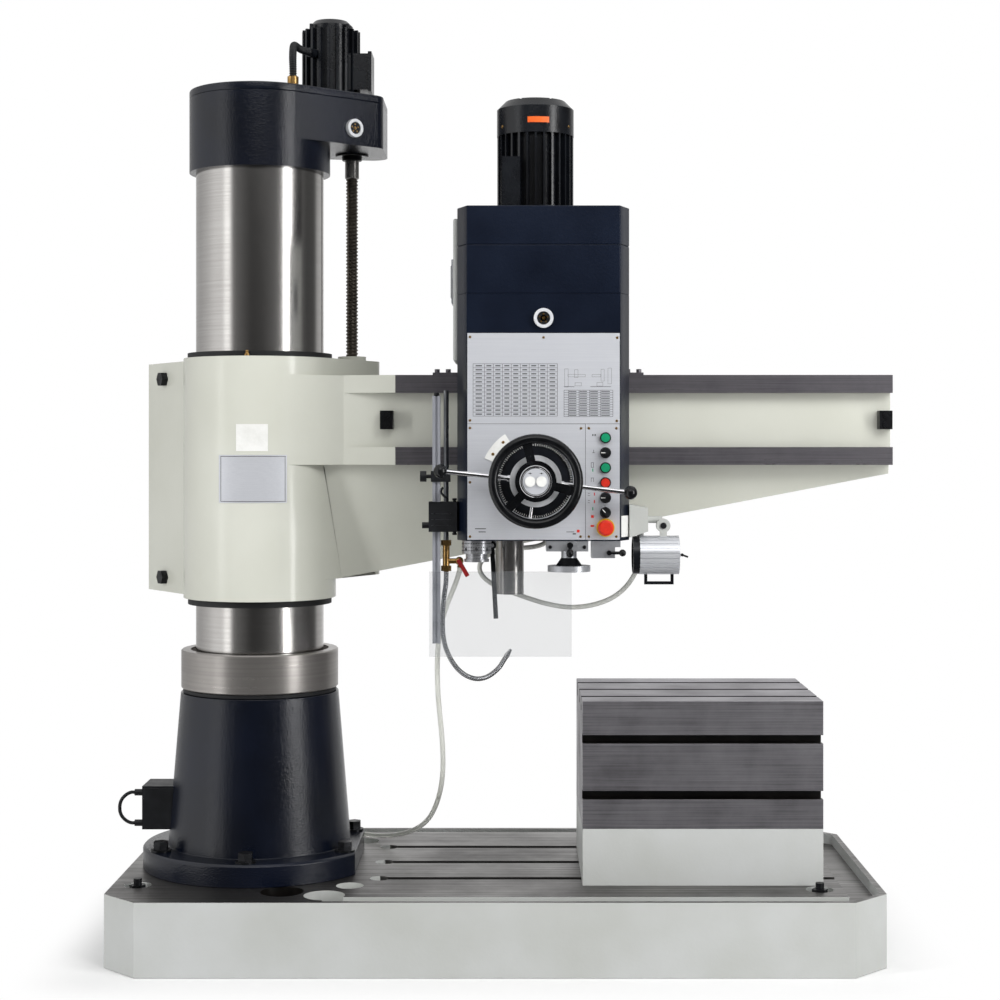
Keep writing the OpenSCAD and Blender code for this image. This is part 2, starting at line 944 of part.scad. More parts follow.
module column_bearings() {
  color("silver") {
    translate([0, 0, pedestal_top]) tube(post_r + bearing_w, post_r, bearing_h - seat_gap);
    for (z = [column_z + race_low, post_top - race_h])
      translate([0, 0, z]) tube(column_bore - run_fit, post_r, race_h);
  }
}

// T-slot over the whole width of the box table
module table_slot() {
  t_slot(table_w + 2 * overrun, table_slot_w, table_slot_neck, table_slot_foot_w, table_slot_foot_h);
}

module box_table() {
  color("dimgray") difference() {
    bar([table_x, table_front, base_h], [table_x + table_w, table_back, table_top]);
    bar([table_x + table_wall, table_front + table_wall, base_h + table_floor],
      [table_x + table_w - table_wall, table_back - table_wall, table_top - table_crown]);
    for (row = [0:2])
      translate([table_x - overrun, table_slot_y - row * table_slot_pitch, table_top]) table_slot();
    for (row = [0:1])
      to_front(table_x - overrun, table_front, table_front_slot_z - row * table_front_slot_pitch)
        table_slot();
  }
}

module supply_box() {
  z = base_h + supply_rise;
  color("#1a1b1d") difference() {
    union() {
      bar([supply_left, -supply_d / 2, z], [supply_left + supply_w, supply_d / 2, z + supply_h]);
      bar([supply_left + supply_edge, -supply_d / 2 - supply_lid_t, z + supply_edge],
        [supply_left + supply_w - supply_edge, -supply_d / 2, z + supply_h - supply_edge]);
      for (row = [0:1])
        translate([supply_left - supply_gland_l, supply_gland_inset - supply_d / 2,
          supply_gland_z + row * supply_gland_pitch])
          rod_x(supply_gland_r, supply_gland_l + overrun);
    }
    pedestal_cone(seat_gap);
  }
}

module supply_cable() {
  color("#141414") cord(supply_cable_route, supply_cable_r, [0, 1, 0]);
}

module coolant_pump() {
  color("#23262b") translate([pump_x, pump_y, base_h]) {
    cylinder(r = pump_foot_r, h = pump_foot_h);
    cylinder(r = pump_r, h = pump_h - pump_cap_h);
    translate([0, 0, pump_h - pump_cap_h]) bevelled_disc(pump_r, pump_cap_h, pump_cap_h / 2);
    translate([0, 0, pump_barb_rise]) rod_x(pump_barb_r, pump_r + pump_barb_l);
  }
}

module supply_hose() {
  color("#e6e6df") cord(supply_hose_route, supply_hose_r, [0, 1, 0]);
}

// Column

module outer_column() {
  color("silver") translate([0, 0, column_z]) tube(column_r, column_bore, column_h);
}

module column_ring() {
  color("lightgray") translate([0, 0, column_z]) rotate_extrude() polygon([
    [column_r, 0], [ring_r - ring_edge, 0], [ring_r, ring_edge], [ring_r, ring_h - ring_edge],
    [ring_r - ring_edge, ring_h], [column_r + ring_groove_w, ring_h],
    [column_r + ring_groove_w, ring_h - ring_groove_h], [column_r, ring_h - ring_groove_h]
  ]);
}

// Plan of the lift housing, drawn in by a margin
module housing_plan(margin) {
  cap = [0, 0];
  near = [lobe_x, lobe_near];
  far = [lobe_x, lobe_far];
  cap_in = cap_r - margin;
  lobe_in = lobe_corner - margin;
  front = touch_angle(cap, cap_in, near, lobe_in, -1);
  rear = touch_angle(cap, cap_in, far, lobe_in, 1);
  circle(r = cap_in);
  translate(near) circle(r = lobe_in);
  translate(far) circle(r = lobe_in);
  polygon([
    cap, tucked(cap, cap_in, front), tucked(near, lobe_in, front), tucked(near, lobe_in, 0),
    tucked(far, lobe_in, 0), tucked(far, lobe_in, rear), tucked(cap, cap_in, rear)
  ]);
}

module lift_housing() {
  lobe_h = housing_h - lobe_rise;
  color("#1f2530") translate([0, 0, column_top]) difference() {
    union() {
      cylinder(r = cap_r, h = housing_h);
      translate([0, 0, lobe_rise]) linear_extrude(lobe_h) housing_plan(0);
      translate([0, 0, -spigot_h])
        tube(column_bore - seat_gap, column_bore - housing_wall, spigot_h + overrun);
    }
    translate([0, 0, housing_wall]) cylinder(r = cap_r - housing_wall, h = housing_h);
    translate([0, 0, lobe_rise + housing_wall]) linear_extrude(housing_h) housing_plan(housing_wall);
    translate([screw_x, screw_y, 0]) cylinder(r = screw_r + run_fit, h = housing_h);
  }
}

module lift_lid() {
  color("#1f2530") {
    translate([0, 0, housing_top]) linear_extrude(lid_h) housing_plan(0);
  }
}

// Oil sight glass standing on its back face
module sight_glass() {
  tube(sight_r, sight_glass_r, sight_t);
  cylinder(r = sight_glass_r, h = sight_t - sight_rim_t);
}

module lift_sight_glass() {
  front = touch_angle([0, 0], cap_r, [lobe_x, lobe_near], lobe_corner, -1);
  color("khaki") rotate([0, 0, front])
    translate([cap_r - plan_tuck, lift_sight_along, column_top + lift_sight_rise])
    rotate([0, 90, 0]) sight_glass();
}

// Finned motor barrel standing on its foot
module finned_barrel(r, core, h, fins, fin_t) {
  linear_extrude(h) {
    circle(r = core);
    for (k = [0:fins - 1]) rotate(k * 360 / fins) translate([0, -fin_t / 2]) square([r, fin_t]);
  }
}

module lift_motor() {
  box_x = lift_motor_r + lift_box_w;
  lip_y = lift_box_d / 2 + lift_box_lip;
  color("#17181a") {
    translate([lift_motor_x, lift_motor_y, lid_top]) {
      cylinder(r = lift_motor_r, h = lift_foot_h);
      finned_barrel(lift_motor_r, lift_motor_core, lift_motor_h, lift_motor_fins, lift_fin_t);
      translate([0, 0, lift_motor_h]) bevelled_disc(lift_end_r, lift_end_h, lift_end_h / 2);
      for (k = [0:3]) rotate([0, 0, (k + 0.5) * 90])
        translate([lift_stud_circle, 0, lift_motor_h - overrun]) cylinder(r = lift_stud_r, h = lift_stud_h);
      bar([0, -lift_box_d / 2, lift_box_rise],
        [box_x - lift_box_lip, lift_box_d / 2, lift_box_rise + lift_box_h]);
      bar([box_x - 2 * lift_box_lip, -lip_y, lift_box_rise - lift_box_lip],
        [box_x, lip_y, lift_box_rise + lift_box_h + lift_box_lip]);
      rotate([0, 0, conduit_turn]) translate([0, 0, conduit_rise])
        rod_x(conduit_gland_r, conduit_gland_reach);
    }
    translate([gland_x, -gland_y, lid_top]) tube(gland_r, gland_bore, gland_h);
  }
}

module motor_conduit() {
  color("#202022") ribbed_hose(motor_conduit_route, motor_conduit_ribs, motor_conduit_r, conduit_rib_depth,
    motor_conduit_bore, [0, 1, 0]);
}

module lift_screw() {
  lobe_z = column_top + lobe_rise;
  color("#3a342c") translate([screw_x, screw_y, 0]) {
    translate([0, 0, sleeve_top - screw_tail])
      cylinder(r = screw_r, h = housing_top - housing_wall - sleeve_top + screw_tail);
    translate([0, 0, lobe_z - slide_gap - screw_collar_h]) cylinder(r = screw_collar_r, h = screw_collar_h);
    translate([0, 0, lobe_z + housing_wall + slide_gap]) cylinder(r = screw_gear_r, h = screw_gear_h);
  }
}

// Arm

// Plan of the arm from the sleeve to its tip, by the half depths in front and behind
module arm_plan(front, rear) {
  near = touch_angle([0, 0], sleeve_r, [front_x, -front], 0, -1);
  far = touch_angle([0, 0], sleeve_r, [back_x, rear], 0, 1);
  polygon([
    [0, 0], tucked([0, 0], sleeve_r, near), [front_x, -front], [arm_reach, -front],
    [arm_reach, rear], [back_x, rear], tucked([0, 0], sleeve_r, far)
  ]);
}

// Plan of the boss round the lift screw, running into the sleeve
module screw_boss_plan() {
  sleeve = [0, 0];
  tip = [screw_x + boss_along, screw_y];
  front = touch_angle(sleeve, sleeve_r, tip, boss_r, -1);
  rear = touch_angle(sleeve, sleeve_r, tip, boss_r, 1);
  translate(tip) circle(r = boss_r);
  polygon([
    sleeve, tucked(sleeve, sleeve_r, front), tucked(tip, boss_r, front), tucked(tip, boss_r, rear),
    tucked(sleeve, sleeve_r, rear)
  ]);
}

module arm_casting() {
  panel = arm_half - panel_recess;
  web_plan_h = arm_z - web_root_z;
  color("#d9dad0") difference() {
    union() {
      translate([0, 0, sleeve_z]) cylinder(r = sleeve_r, h = sleeve_h);
      translate([0, 0, arm_z]) linear_extrude(arm_h) arm_plan(panel, arm_half);
      intersection() {
        translate([0, 0, web_root_z]) linear_extrude(web_plan_h + overrun) arm_plan(web_half, web_half);
        to_front(0, web_half, 0) linear_extrude(2 * web_half) polygon([
          [0, web_root_z], [web_root_x, web_root_z], [arm_reach, arm_z - web_tip],
          [arm_reach, arm_z + overrun], [0, arm_z + overrun]
        ]);
        rotate([90, 0, 90]) linear_extrude(arm_reach) polygon([
          [-web_foot, web_root_z], [web_foot, web_root_z],
          [web_half, arm_z + overrun], [-web_half, arm_z + overrun]
        ]);
      }
      for (z = [arm_z, arm_top - rail_h])
        translate([0, 0, z]) linear_extrude(rail_h) polygon([
          [flare_x, -panel], [rail_x, -arm_half], [arm_reach, -arm_half],
          [arm_reach, overrun - panel], [flare_x, overrun - panel]
        ]);
      translate([0, 0, web_root_z]) linear_extrude(sleeve_top - web_root_z) screw_boss_plan();
      rotate([0, 0, lug_turn]) bar(
        [0, lug_face - 2 * lug_t - lug_slit, sleeve_z + lug_inset],
        [lug_end, lug_face, sleeve_top - lug_inset]);
    }
    translate([0, 0, sleeve_z - overrun]) cylinder(r = column_r + run_fit, h = sleeve_h + 2 * overrun);
    rotate([0, 0, lug_turn]) bar(
      [column_r / 2, lug_face - lug_t - lug_slit, sleeve_z - overrun],
      [lug_end + overrun, lug_face - lug_t, sleeve_top + overrun]);
    clamp_bolt_places() cylinder(r = lug_bolt_r + seat_gap, h = 2 * lug_t + lug_slit + 2 * overrun);
    bar([rail_x + core_end, core_side - panel, arm_z + core_floor],
      [arm_reach - core_end, arm_half - core_side, arm_top - core_floor]);
    translate([screw_x, screw_y, web_root_z - overrun])
      cylinder(r = screw_r + screw_room, h = sleeve_top - web_root_z + 2 * overrun);
    translate([screw_x, screw_y, sleeve_top - nut_body_l])
      cylinder(r = nut_body_r, h = nut_body_l + overrun);
  }
}

// Puts a shape on the back of the rear lug, pointing to the lug's front face, at each clamp bolt
module clamp_bolt_places() {
  for (z = [sleeve_z + lug_bolt_inset, sleeve_top - lug_inset - lug_bolt_inset])
    rotate([0, 0, lug_turn]) translate([lug_bolt_along, lug_face - 2 * lug_t - lug_slit - overrun, z])
      rotate([-90, 0, 0]) children();
}

module sleeve_wipers() {
  color("#111214") {
    wiper_bore = column_r + slide_gap;
    translate([0, 0, sleeve_z - wiper_low_h]) tube(column_r + wiper_low_t, wiper_bore, wiper_low_h);
    translate([0, 0, sleeve_top]) tube(column_r + wiper_top_t, wiper_bore, wiper_top_h);
  }
}

// One stop block with its two screws, standing on its seat
module stop_block() {
  linear_extrude(stop_d) square([stop_w, stop_h], center = true);
  for (side = [-1, 1])
    translate([0, side * stop_h / 4, stop_d]) cylinder(r = stop_bolt_head_r, h = stop_bolt_head);
}

module arm_hardware() {
  mid = arm_z + arm_h / 2;
  color("#141416") {
    clamp_bolt_places() {
      translate([0, 0, overrun]) cylinder(r = lug_bolt_r, h = 2 * lug_t + lug_slit);
      translate([0, 0, 2 * lug_t + lug_slit + overrun]) hex_head(lug_bolt_af, lug_bolt_head);
      translate([0, 0, overrun - lug_bolt_head]) hex_head(lug_bolt_af, lug_bolt_head);
    }
    to_front(stop_left_x + stop_w / 2, panel_recess - arm_half, mid) stop_block();
    to_front(arm_reach - stop_w / 2 - stop_end, panel_recess - arm_half, mid) stop_block();
  }
}

module lift_nut() {
  color("darkgoldenrod") translate([screw_x, screw_y, sleeve_top]) difference() {
    union() {
      cylinder(r = nut_flange_r, h = nut_flange_h);
      translate([0, 0, -nut_body_l]) cylinder(r = nut_body_r - seat_gap, h = nut_body_l + overrun);
    }
    translate([0, 0, -nut_body_l - overrun])
      cylinder(r = screw_r + run_fit, h = nut_body_l + nut_flange_h + 2 * overrun);
  }
}

// Drill head

// Plan of the head, with its front bevels
module head_plan() {
  side = head_w / 2;
  face = front_w / 2;
  polygon([
    [head_x - face, -head_front], [head_x + face, -head_front], [head_x + side, bevel_d - head_front],
    [head_x + side, -head_back], [head_x - side, -head_back], [head_x - side, bevel_d - head_front]
  ]);
}

module head_casting() {
  half = head_w / 2 - head_wall;
  tongue_z = arm_z + rail_h + tongue_room;
  color("#1f2530") difference() {
    union() {
      translate([0, 0, head_z]) linear_extrude(head_h) head_plan();
      bar([head_x - tongue_w / 2, -head_back - overrun, tongue_z],
        [head_x + tongue_w / 2, tongue_reach - head_back, arm_top - rail_h - tongue_room]);
      bar([head_x - tongue_w / 2, -head_back - overrun, head_z],
        [head_x + tongue_w / 2, saddle_reach - head_back, arm_z - slide_gap]);
    }
    difference() {
      bar([head_x - half, head_wall - head_front, head_z + head_floor],
        [head_x + half, -head_back - head_wall, cover_z - head_wall]);
      translate([spindle_x, spindle_y, head_z]) cylinder(r = guide_boss_r, h = head_h);
    }
    translate([spindle_x, spindle_y, head_z - overrun])
      cylinder(r = quill_r + run_fit, h = quill_top - head_z + 2 * overrun);
    translate([spindle_x, spindle_y, quill_top])
      cylinder(r = spindle_r + slide_gap, h = spindle_top - quill_top + head_wall);
    to_front(hub_x, -head_back - stem_back, hub_z) cylinder(r = stem_r + seat_gap, h = head_front);
    to_front(hub_x, head_wall + sleeve_inset - head_front, hub_z)
      cylinder(r = feed_sleeve_r + run_fit, h = head_wall + sleeve_inset + overrun);
    translate([speed_dial_x, speed_dial_y, head_z - overrun])
      cylinder(r = speed_stem_r + run_fit, h = speed_stem_l + 2 * overrun);
  }
}

module head_covers() {
  color("#1f2530") {
    translate([0, 0, cover_z]) linear_extrude(gear_cover_h) head_plan();
    translate([0, 0, top_cover_z + seat_gap]) linear_extrude(top_cover_h - seat_gap) head_plan();
  }
}

// Thin plate on the front of the head, between two corners
module face_plate(x0, x1, z0, z1) {
  to_front(0, -head_front, 0) linear_extrude(plate_t) translate([x0, z0]) square([x1 - x0, z1 - z0]);
}

module face_plates() {
  left = head_x - front_w / 2 + plate_margin;
  right = head_x + front_w / 2 - plate_margin;
  split = head_x + plate_split;
  color("#c4c6c9") {
    face_plate(left, right, head_z + chart_z + plate_gap, head_z + chart_z + chart_h);
    difference() {
      face_plate(left, split, head_z + lower_plate_z, head_z + chart_z);
      to_front(hub_x, overrun - head_front, hub_z)
        cylinder(r = feed_sleeve_r + slide_gap, h = plate_t + 2 * overrun);
    }
    face_plate(split + plate_gap, right, head_z + lower_plate_z, head_z + chart_z);
  }
}

module head_sight_glass() {
  color("khaki") to_front(head_x, -head_front, head_z + head_sight_rise) sight_glass();
}

module spindle_motor() {
  color("#17181a") translate([motor_x, motor_y, motor_z]) {
    cylinder(r = motor_r, h = motor_foot_h);
    finned_barrel(motor_r, motor_core, motor_h, motor_fins, motor_fin_t);
    bar([-motor_box_x - motor_box_d, -motor_r - motor_box_w / 4, motor_box_rise],
      [-motor_box_x, 0, motor_box_rise + motor_box_h]);
  }
}

module motor_cowl() {
  cowl_r = motor_r + cowl_lip;
  hole_from = cowl_r * cowl_hole_shares[0];
  hole_to = cowl_r * cowl_hole_shares[1];
  color("#1b1c1f") translate([motor_x, motor_y, motor_z + motor_h]) difference() {
    bevelled_disc(cowl_r, cowl_h, cowl_edge);
    translate([0, 0, -overrun]) cylinder(r = cowl_r - cowl_edge, h = cowl_h - cowl_wall + overrun);
    for (k = [0:cowl_holes - 1]) rotate([0, 0, k * 360 / cowl_holes])
      bar([hole_from, -cowl_hole_w / 2, 0], [hole_to, cowl_hole_w / 2, cowl_h + overrun]);
  }
}

module head_gib() {
  color("#303236") {
    bar([head_x - gib_left, -head_back, arm_top + slide_gap],
      [head_x + gib_right, gib_d - head_back, arm_top + slide_gap + gib_t]);
    for (k = [0:1])
      for (x = [head_x - gib_left + gib_bolt_inset + k * gib_bolt_pitch,
        head_x + gib_right - gib_bolt_inset - k * gib_bolt_pitch])
        translate([x, gib_d / 2 - head_back, arm_top + slide_gap + gib_t])
          cylinder(r = gib_bolt_r, h = gib_bolt_h);
  }
}

// Button column

function switch_height(row) = head_z + switch_z + row * switch_pitch;

module switch_bezels() {
  color("silver") {
    for (row = [1:6]) to_front(switch_x, plate_face, switch_height(row)) difference() {
      cylinder(r = bezel_r, h = bezel_h);
      translate([0, 0, bezel_floor]) cylinder(r = cap_button_r + run_fit, h = bezel_h);
    }
    to_front(switch_x, plate_face, switch_height(0)) difference() {
      cylinder(r = stop_collar_r, h = stop_collar_h);
      translate([0, 0, bezel_floor]) cylinder(r = stop_stem_r + run_fit, h = stop_collar_h);
    }
  }
}

// Round cap of a push button or selector, standing in its bezel
module button_cap(row) {
  foot = bezel_floor + button_press + slide_gap;
  to_front(switch_x, plate_face - foot, switch_height(row)) {
    cylinder(r = cap_button_r, h = bezel_h + button_proud - foot);
    translate([0, 0, bezel_h + button_proud - foot]) children();
  }
}

module selector(row) {
  color("#1b1c1e") button_cap(row) translate([-selector_bar_w / 2, -cap_button_r, -overrun])
    cube([selector_bar_w, 2 * cap_button_r, selector_bar_h + overrun]);
}

module green_button_upper() {
  color("seagreen") button_cap(6);
}

module green_button_lower() {
  color("seagreen") button_cap(4);
}

module red_button() {
  color("firebrick") button_cap(3);
}

module selector_top() {
  selector(5);
}

module selector_middle() {
  selector(2);
}

module selector_lower() {
  selector(1);
}

module estop_button() {
  foot = bezel_floor + stop_press + slide_gap;
  color("red") to_front(switch_x, plate_face - foot, switch_height(0)) {
    cylinder(r = stop_stem_r, h = stop_collar_h + stop_press);
    translate([0, 0, stop_collar_h + slide_gap]) bevelled_disc(stop_r, stop_head_h, stop_edge);
  }
}

// Hub, levers and handwheel

module hub_stem() {
  depth = head_back + stem_back;
  color("silver") {
    to_front(hub_x, -depth, hub_z) cylinder(r = stem_r, h = -wheel_front - depth + slide_gap + overrun);
    to_front(hub_x, wheel_front - slide_gap, hub_z) difference() {
      cylinder(r = hub_plate_r, h = hub_plate_t);
      for (side = [-1, 1]) translate([side * hub_button_pitch / 2, 0, hub_button_floor])
        cylinder(r = hub_button_r + run_fit, h = hub_plate_t);
    }
  }
}

// One of the two white push buttons in the hub plate
module hub_button(side) {
  foot = hub_button_floor + hub_button_press + slide_gap;
  color("ivory") to_front(hub_x + side * hub_button_pitch / 2, wheel_front - slide_gap - foot, hub_z)
    cylinder(r = hub_button_r, h = hub_plate_t + hub_button_proud - foot);
}

module clamp_button() {
  hub_button(-1);
}

module release_button() {
  hub_button(1);
}

module feed_hub() {
  back = head_front - head_wall - sleeve_inset;
  lever_y = hub_front + lever_back;
  color("#202226") difference() {
    union() {
      to_front(hub_x, -back, hub_z) cylinder(r = feed_sleeve_r, h = -hub_front - back);
      to_front(hub_x, dial_back, hub_z) difference() {
        cylinder(r = dial_r, h = dial_t);
        translate([0, 0, dial_t - dial_recess]) cylinder(r = dial_r - dial_lip_w, h = dial_t);
      }
      to_front(hub_x, dial_back - dial_t + dial_recess + overrun, hub_z)
        cylinder(r = hub_r, h = hub_l + dial_recess + overrun);
      to_front(hub_x, hub_front, hub_z) cylinder(r = hub_disc_r, h = hub_disc_t);
      to_front(hub_x, dial_back - dial_t + dial_recess + overrun, hub_z) rotate([0, 0, lock_angle])
        translate([lock_radius, 0, 0]) {
          cylinder(r = lock_r, h = lock_l);
          translate([-lock_bar_l / 2, 0, lock_l]) rod_x(lock_bar_r, lock_bar_l);
        }
    }
    to_front(hub_x, overrun - back, hub_z)
      cylinder(r = wheel_sleeve_r + run_fit, h = -hub_front - back + hub_disc_t + 2 * overrun);
    for (angle = lever_angles) translate([hub_x, lever_y, hub_z]) rotate([0, -angle, 0])
      translate([hub_r - lever_seat, 0, 0]) rod_x(lever_r + seat_gap, lever_seat + overrun);
  }
}

module feed_levers() {
  color("silver") translate([hub_x, hub_front + lever_back, hub_z])
    for (angle = lever_angles) rotate([0, -angle, 0]) {
      translate([hub_r - lever_seat, 0, 0]) rod_x(lever_r, lever_reach - hub_r + lever_seat);
      translate([hub_r + slide_gap, 0, 0]) rod_x(lever_collar_r, lever_collar_l);
      translate([lever_reach, 0, 0]) sphere(r = ball_r);
    }
}

module traverse_wheel() {
  back = head_front - head_wall - sleeve_inset;
  rim_r = wheel_r - wheel_tube_r;
  color("#1a1b1d") {
    difference() {
      union() {
        to_front(hub_x, -back, hub_z) cylinder(r = wheel_sleeve_r, h = -wheel_front - back);
        to_front(hub_x, wheel_back, hub_z) cylinder(r = wheel_hub_r, h = wheel_hub_t);
      }
      to_front(hub_x, overrun - back, hub_z)
        cylinder(r = stem_r + run_fit, h = -wheel_front - back + 2 * overrun);
    }
    to_front(hub_x, (wheel_back + wheel_front) / 2, hub_z) {
      rotate_extrude() translate([rim_r, 0]) circle(r = wheel_tube_r);
      for (angle = spoke_angles) rotate([0, 0, angle])
        bar([wheel_hub_r - spoke_inset, -spoke_w / 2, -spoke_t / 2],
          [rim_r - wheel_tube_r / 2, spoke_w / 2, spoke_t / 2]);
    }
  }
}

// Spindle

module quill() {
  color("silver") translate([spindle_x, spindle_y, quill_z]) tube(quill_r, spindle_r + run_fit, quill_l);
}

module spindle() {
  color("gainsboro") translate([spindle_x, spindle_y, nose_z]) difference() {
    union() {
      cylinder(r = quill_r - seat_gap, h = nose_l - slide_gap);
      cylinder(r = spindle_r, h = spindle_top - nose_z);
    }
    translate([0, 0, -overrun]) cylinder(h = socket_l + overrun,
      r1 = socket_r + overrun * socket_taper, r2 = socket_r - socket_l * socket_taper);
    bar([-quill_r - overrun, -drift_w / 2, drift_rise],
      [quill_r + overrun, drift_w / 2, drift_rise + drift_h]);
  }
}

// Parts under the head

module speed_dial() {
  dial_z = -speed_dial_gap - speed_dial_h;
  color("silver") translate([speed_dial_x, speed_dial_y, head_z]) difference() {
    union() {
      cylinder(r = speed_stem_r, h = speed_stem_l);
      translate([0, 0, dial_z]) cylinder(r = speed_dial_r, h = speed_dial_h);
      translate([0, 0, -speed_dial_gap]) cylinder(r = speed_stem_r, h = speed_dial_gap);
      translate([0, 0, dial_z - speed_neck_h]) cylinder(r = speed_neck_r, h = speed_neck_h);
      translate([0, 0, dial_z - speed_neck_h - speed_foot_h]) cylinder(r = speed_foot_r, h = speed_foot_h);
    }
    for (k = [0:speed_dial_holes - 1]) rotate([0, 0, k * 360 / speed_dial_holes])
      translate([speed_dial_r - speed_hole_depth, 0, dial_z + speed_hole_rise])
        rod_x(speed_hole_r, speed_hole_depth + overrun);
  }
}

module underside_boxes() {
  color("#9b9da0") {
    difference() {
      translate([fine_box_x, fine_box_y, head_z - fine_box_h]) cube([fine_box_w, fine_box_d, fine_box_h]);
      translate([fine_x, fine_y, head_z - fine_box_h - overrun])
        cylinder(r = fine_shaft_r + run_fit, h = fine_shaft_l + 2 * overrun);
    }
    translate([shift_box_x, shift_box_y, head_z - shift_box_h])
      cube([shift_box_w, shift_box_d, shift_box_h]);
    difference() {
      translate([shift_box_x, shift_box_y, head_z - shift_box_h - shift_step_h])
        cube([shift_step_w, shift_box_d, shift_step_h]);
      to_front(shift_x, shift_box_y + shift_pin_l, shift_lever_z)
        cylinder(r = shift_pin_r + run_fit, h = shift_pin_l + overrun);
    }
    to_front(spindle_lever_x, spindle_lever_y + lever_lug_d + slide_gap, head_z - lever_pivot_drop) {
      cylinder(r = lever_lug_r, h = lever_lug_d);
      cylinder(r = lever_pin_r, h = lever_lug_d + lever_bar_t + 2 * slide_gap);
      translate([-lever_lug_r, 0, 0]) cube([2 * lever_lug_r, lever_pivot_drop, lever_lug_d]);
    }
  }
}

module fine_feed_wheel() {
  neck_z = head_z - fine_box_h - slide_gap;
  rim_z = neck_z - fine_neck_h - fine_cone_h;
  color("silver") translate([fine_x, fine_y, 0]) {
    translate([0, 0, neck_z]) cylinder(r = fine_shaft_r, h = fine_shaft_l);
    translate([0, 0, neck_z - fine_neck_h]) cylinder(r = fine_neck_r, h = fine_neck_h);
    translate([0, 0, rim_z]) cylinder(r1 = fine_cone_r, r2 = fine_neck_r, h = fine_cone_h);
    translate([0, 0, rim_z - fine_rim_h]) tube(fine_wheel_r, fine_wheel_r - fine_rim_w, fine_rim_h);
    translate([0, 0, rim_z - fine_web_h]) cylinder(r = fine_wheel_r - fine_rim_w / 2, h = fine_web_h);
  }
}

module shift_lever() {
  color("#15161a") to_front(shift_x, shift_box_y + shift_pin_l - slide_gap, shift_lever_z) {
    cylinder(r = shift_pin_r, h = shift_pin_l + shift_reach + shift_pin_r);
    translate([0, 0, shift_pin_l + shift_reach]) rod_x(shift_arm_r, shift_arm_l);
    translate([shift_arm_l, 0, shift_pin_l + shift_reach]) sphere(r = shift_ball_r);
  }
}

module spindle_lever() {
  color("#17181a") to_front(spindle_lever_x, spindle_lever_y - slide_gap, head_z - lever_pivot_drop)
    difference() {
      union() {
        cylinder(r = lever_lug_r, h = lever_bar_t);
        rotate([0, 0, lever_bar_lean]) bar([-lever_bar_w / 2, -lever_bar_l, lever_bar_thin],
          [lever_bar_w / 2, -lever_lug_r / 2, lever_bar_t - lever_bar_thin]);
      }
      translate([0, 0, -overrun]) cylinder(r = lever_pin_r + run_fit, h = lever_bar_t + 2 * overrun);
    }
}

// Guard and coolant

module guard_bracket() {
  side = head_x - head_w / 2;
  slot = guard_post_w / 2 + slide_gap;
  back = guard_y + bracket_d / 2;
  front = guard_y - bracket_d / 2;
  low = head_z + bracket_z;
  clamp_mid = head_z + clamp_z + clamp_h / 2;
  knob_x = guard_x - clamp_left - clamp_stem_l;
  color("#121315") {
    difference() {
      union() {
        bar([guard_x - bracket_left, front, low], [side, back, low + bracket_h]);
        translate([guard_x - bracket_left - wing_l, guard_y, low + bracket_rib_h])
          rod_x(wing_r, wing_l + overrun);
        bar([guard_x - clamp_left, guard_y - clamp_d / 2, clamp_mid - clamp_h / 2],
          [guard_x + clamp_right, guard_y + clamp_d / 2, clamp_mid + clamp_h / 2]);
        translate([knob_x, guard_y, clamp_mid]) rod_x(clamp_stem_r, clamp_stem_l + overrun);
        translate([knob_x - clamp_knob_l, guard_y, clamp_mid]) rod_x(clamp_knob_r, clamp_knob_l);
        translate([pipe_x, guard_y, head_z - pipe_down]) cylinder(r = pipe_r, h = pipe_up + pipe_down);
      }
      translate([guard_x - slot, guard_y - slot, head_z]) cube([2 * slot, 2 * slot, guard_post_l]);
    }
  }
}

module guard_post() {
  half = guard_post_w / 2;
  color("lightgray") translate([guard_x, guard_y, head_z - guard_drop]) linear_extrude(guard_post_l)
    difference() {
      square(guard_post_w, center = true);
      for (k = [0:3]) rotate(k * 90) translate([half - post_slot_d, -post_slot_w / 2])
        square([post_slot_d + overrun, post_slot_w]);
    }
}

module guard_shield() {
  x = guard_x - shield_left;
  z = head_z - guard_drop - shield_down;
  color([0.8, 0.85, 0.88, 0.4]) {
    to_front(0, guard_y - guard_post_w / 2, 0) linear_extrude(shield_t)
      translate([x, z]) square([shield_w, shield_h]);
    for (share = shield_bolt_shares)
      to_front(guard_x, guard_y - guard_post_w / 2 - shield_t, z + share * shield_h)
        cylinder(r = shield_bolt_r, h = shield_bolt_h);
  }
}

module coolant_valve() {
  top = head_z - tee_drop;
  branch_z = head_z - branch_drop;
  end = coolant_hose_route[len(coolant_hose_route) - 1];
  color("darkgoldenrod") {
    translate([pipe_x, guard_y, 0]) difference() {
      union() {
        translate([0, 0, top - tee_l]) cylinder(r = tee_r, h = tee_l);
        for (z = [top - tee_nut_h, top - tee_l]) translate([0, 0, z]) hex_head(tee_nut_af, tee_nut_h);
        translate([0, 0, branch_z]) rod_x(branch_r, branch_l);
        translate([branch_l, 0, branch_z]) sphere(r = valve_r);
        translate([branch_l, barb_l, branch_z - barb_l]) rotate([45, 0, 0])
          cylinder(r = barb_r, h = barb_l * sqrt(2));
      }
      translate([0, 0, top - pipe_down + tee_drop]) cylinder(r = pipe_r + seat_gap, h = tee_l);
    }
    translate(end) rotate([0, nozzle_turn, 0])
      cylinder(r1 = nozzle_r, r2 = nozzle_tip_r, h = nozzle_l);
  }
}

module coolant_hose() {
  color("#9fa3a8") ribbed_hose(coolant_hose_route, coolant_hose_ribs, coolant_hose_r, coolant_rib_depth,
    coolant_hose_bore, [0, 1, 0]);
}

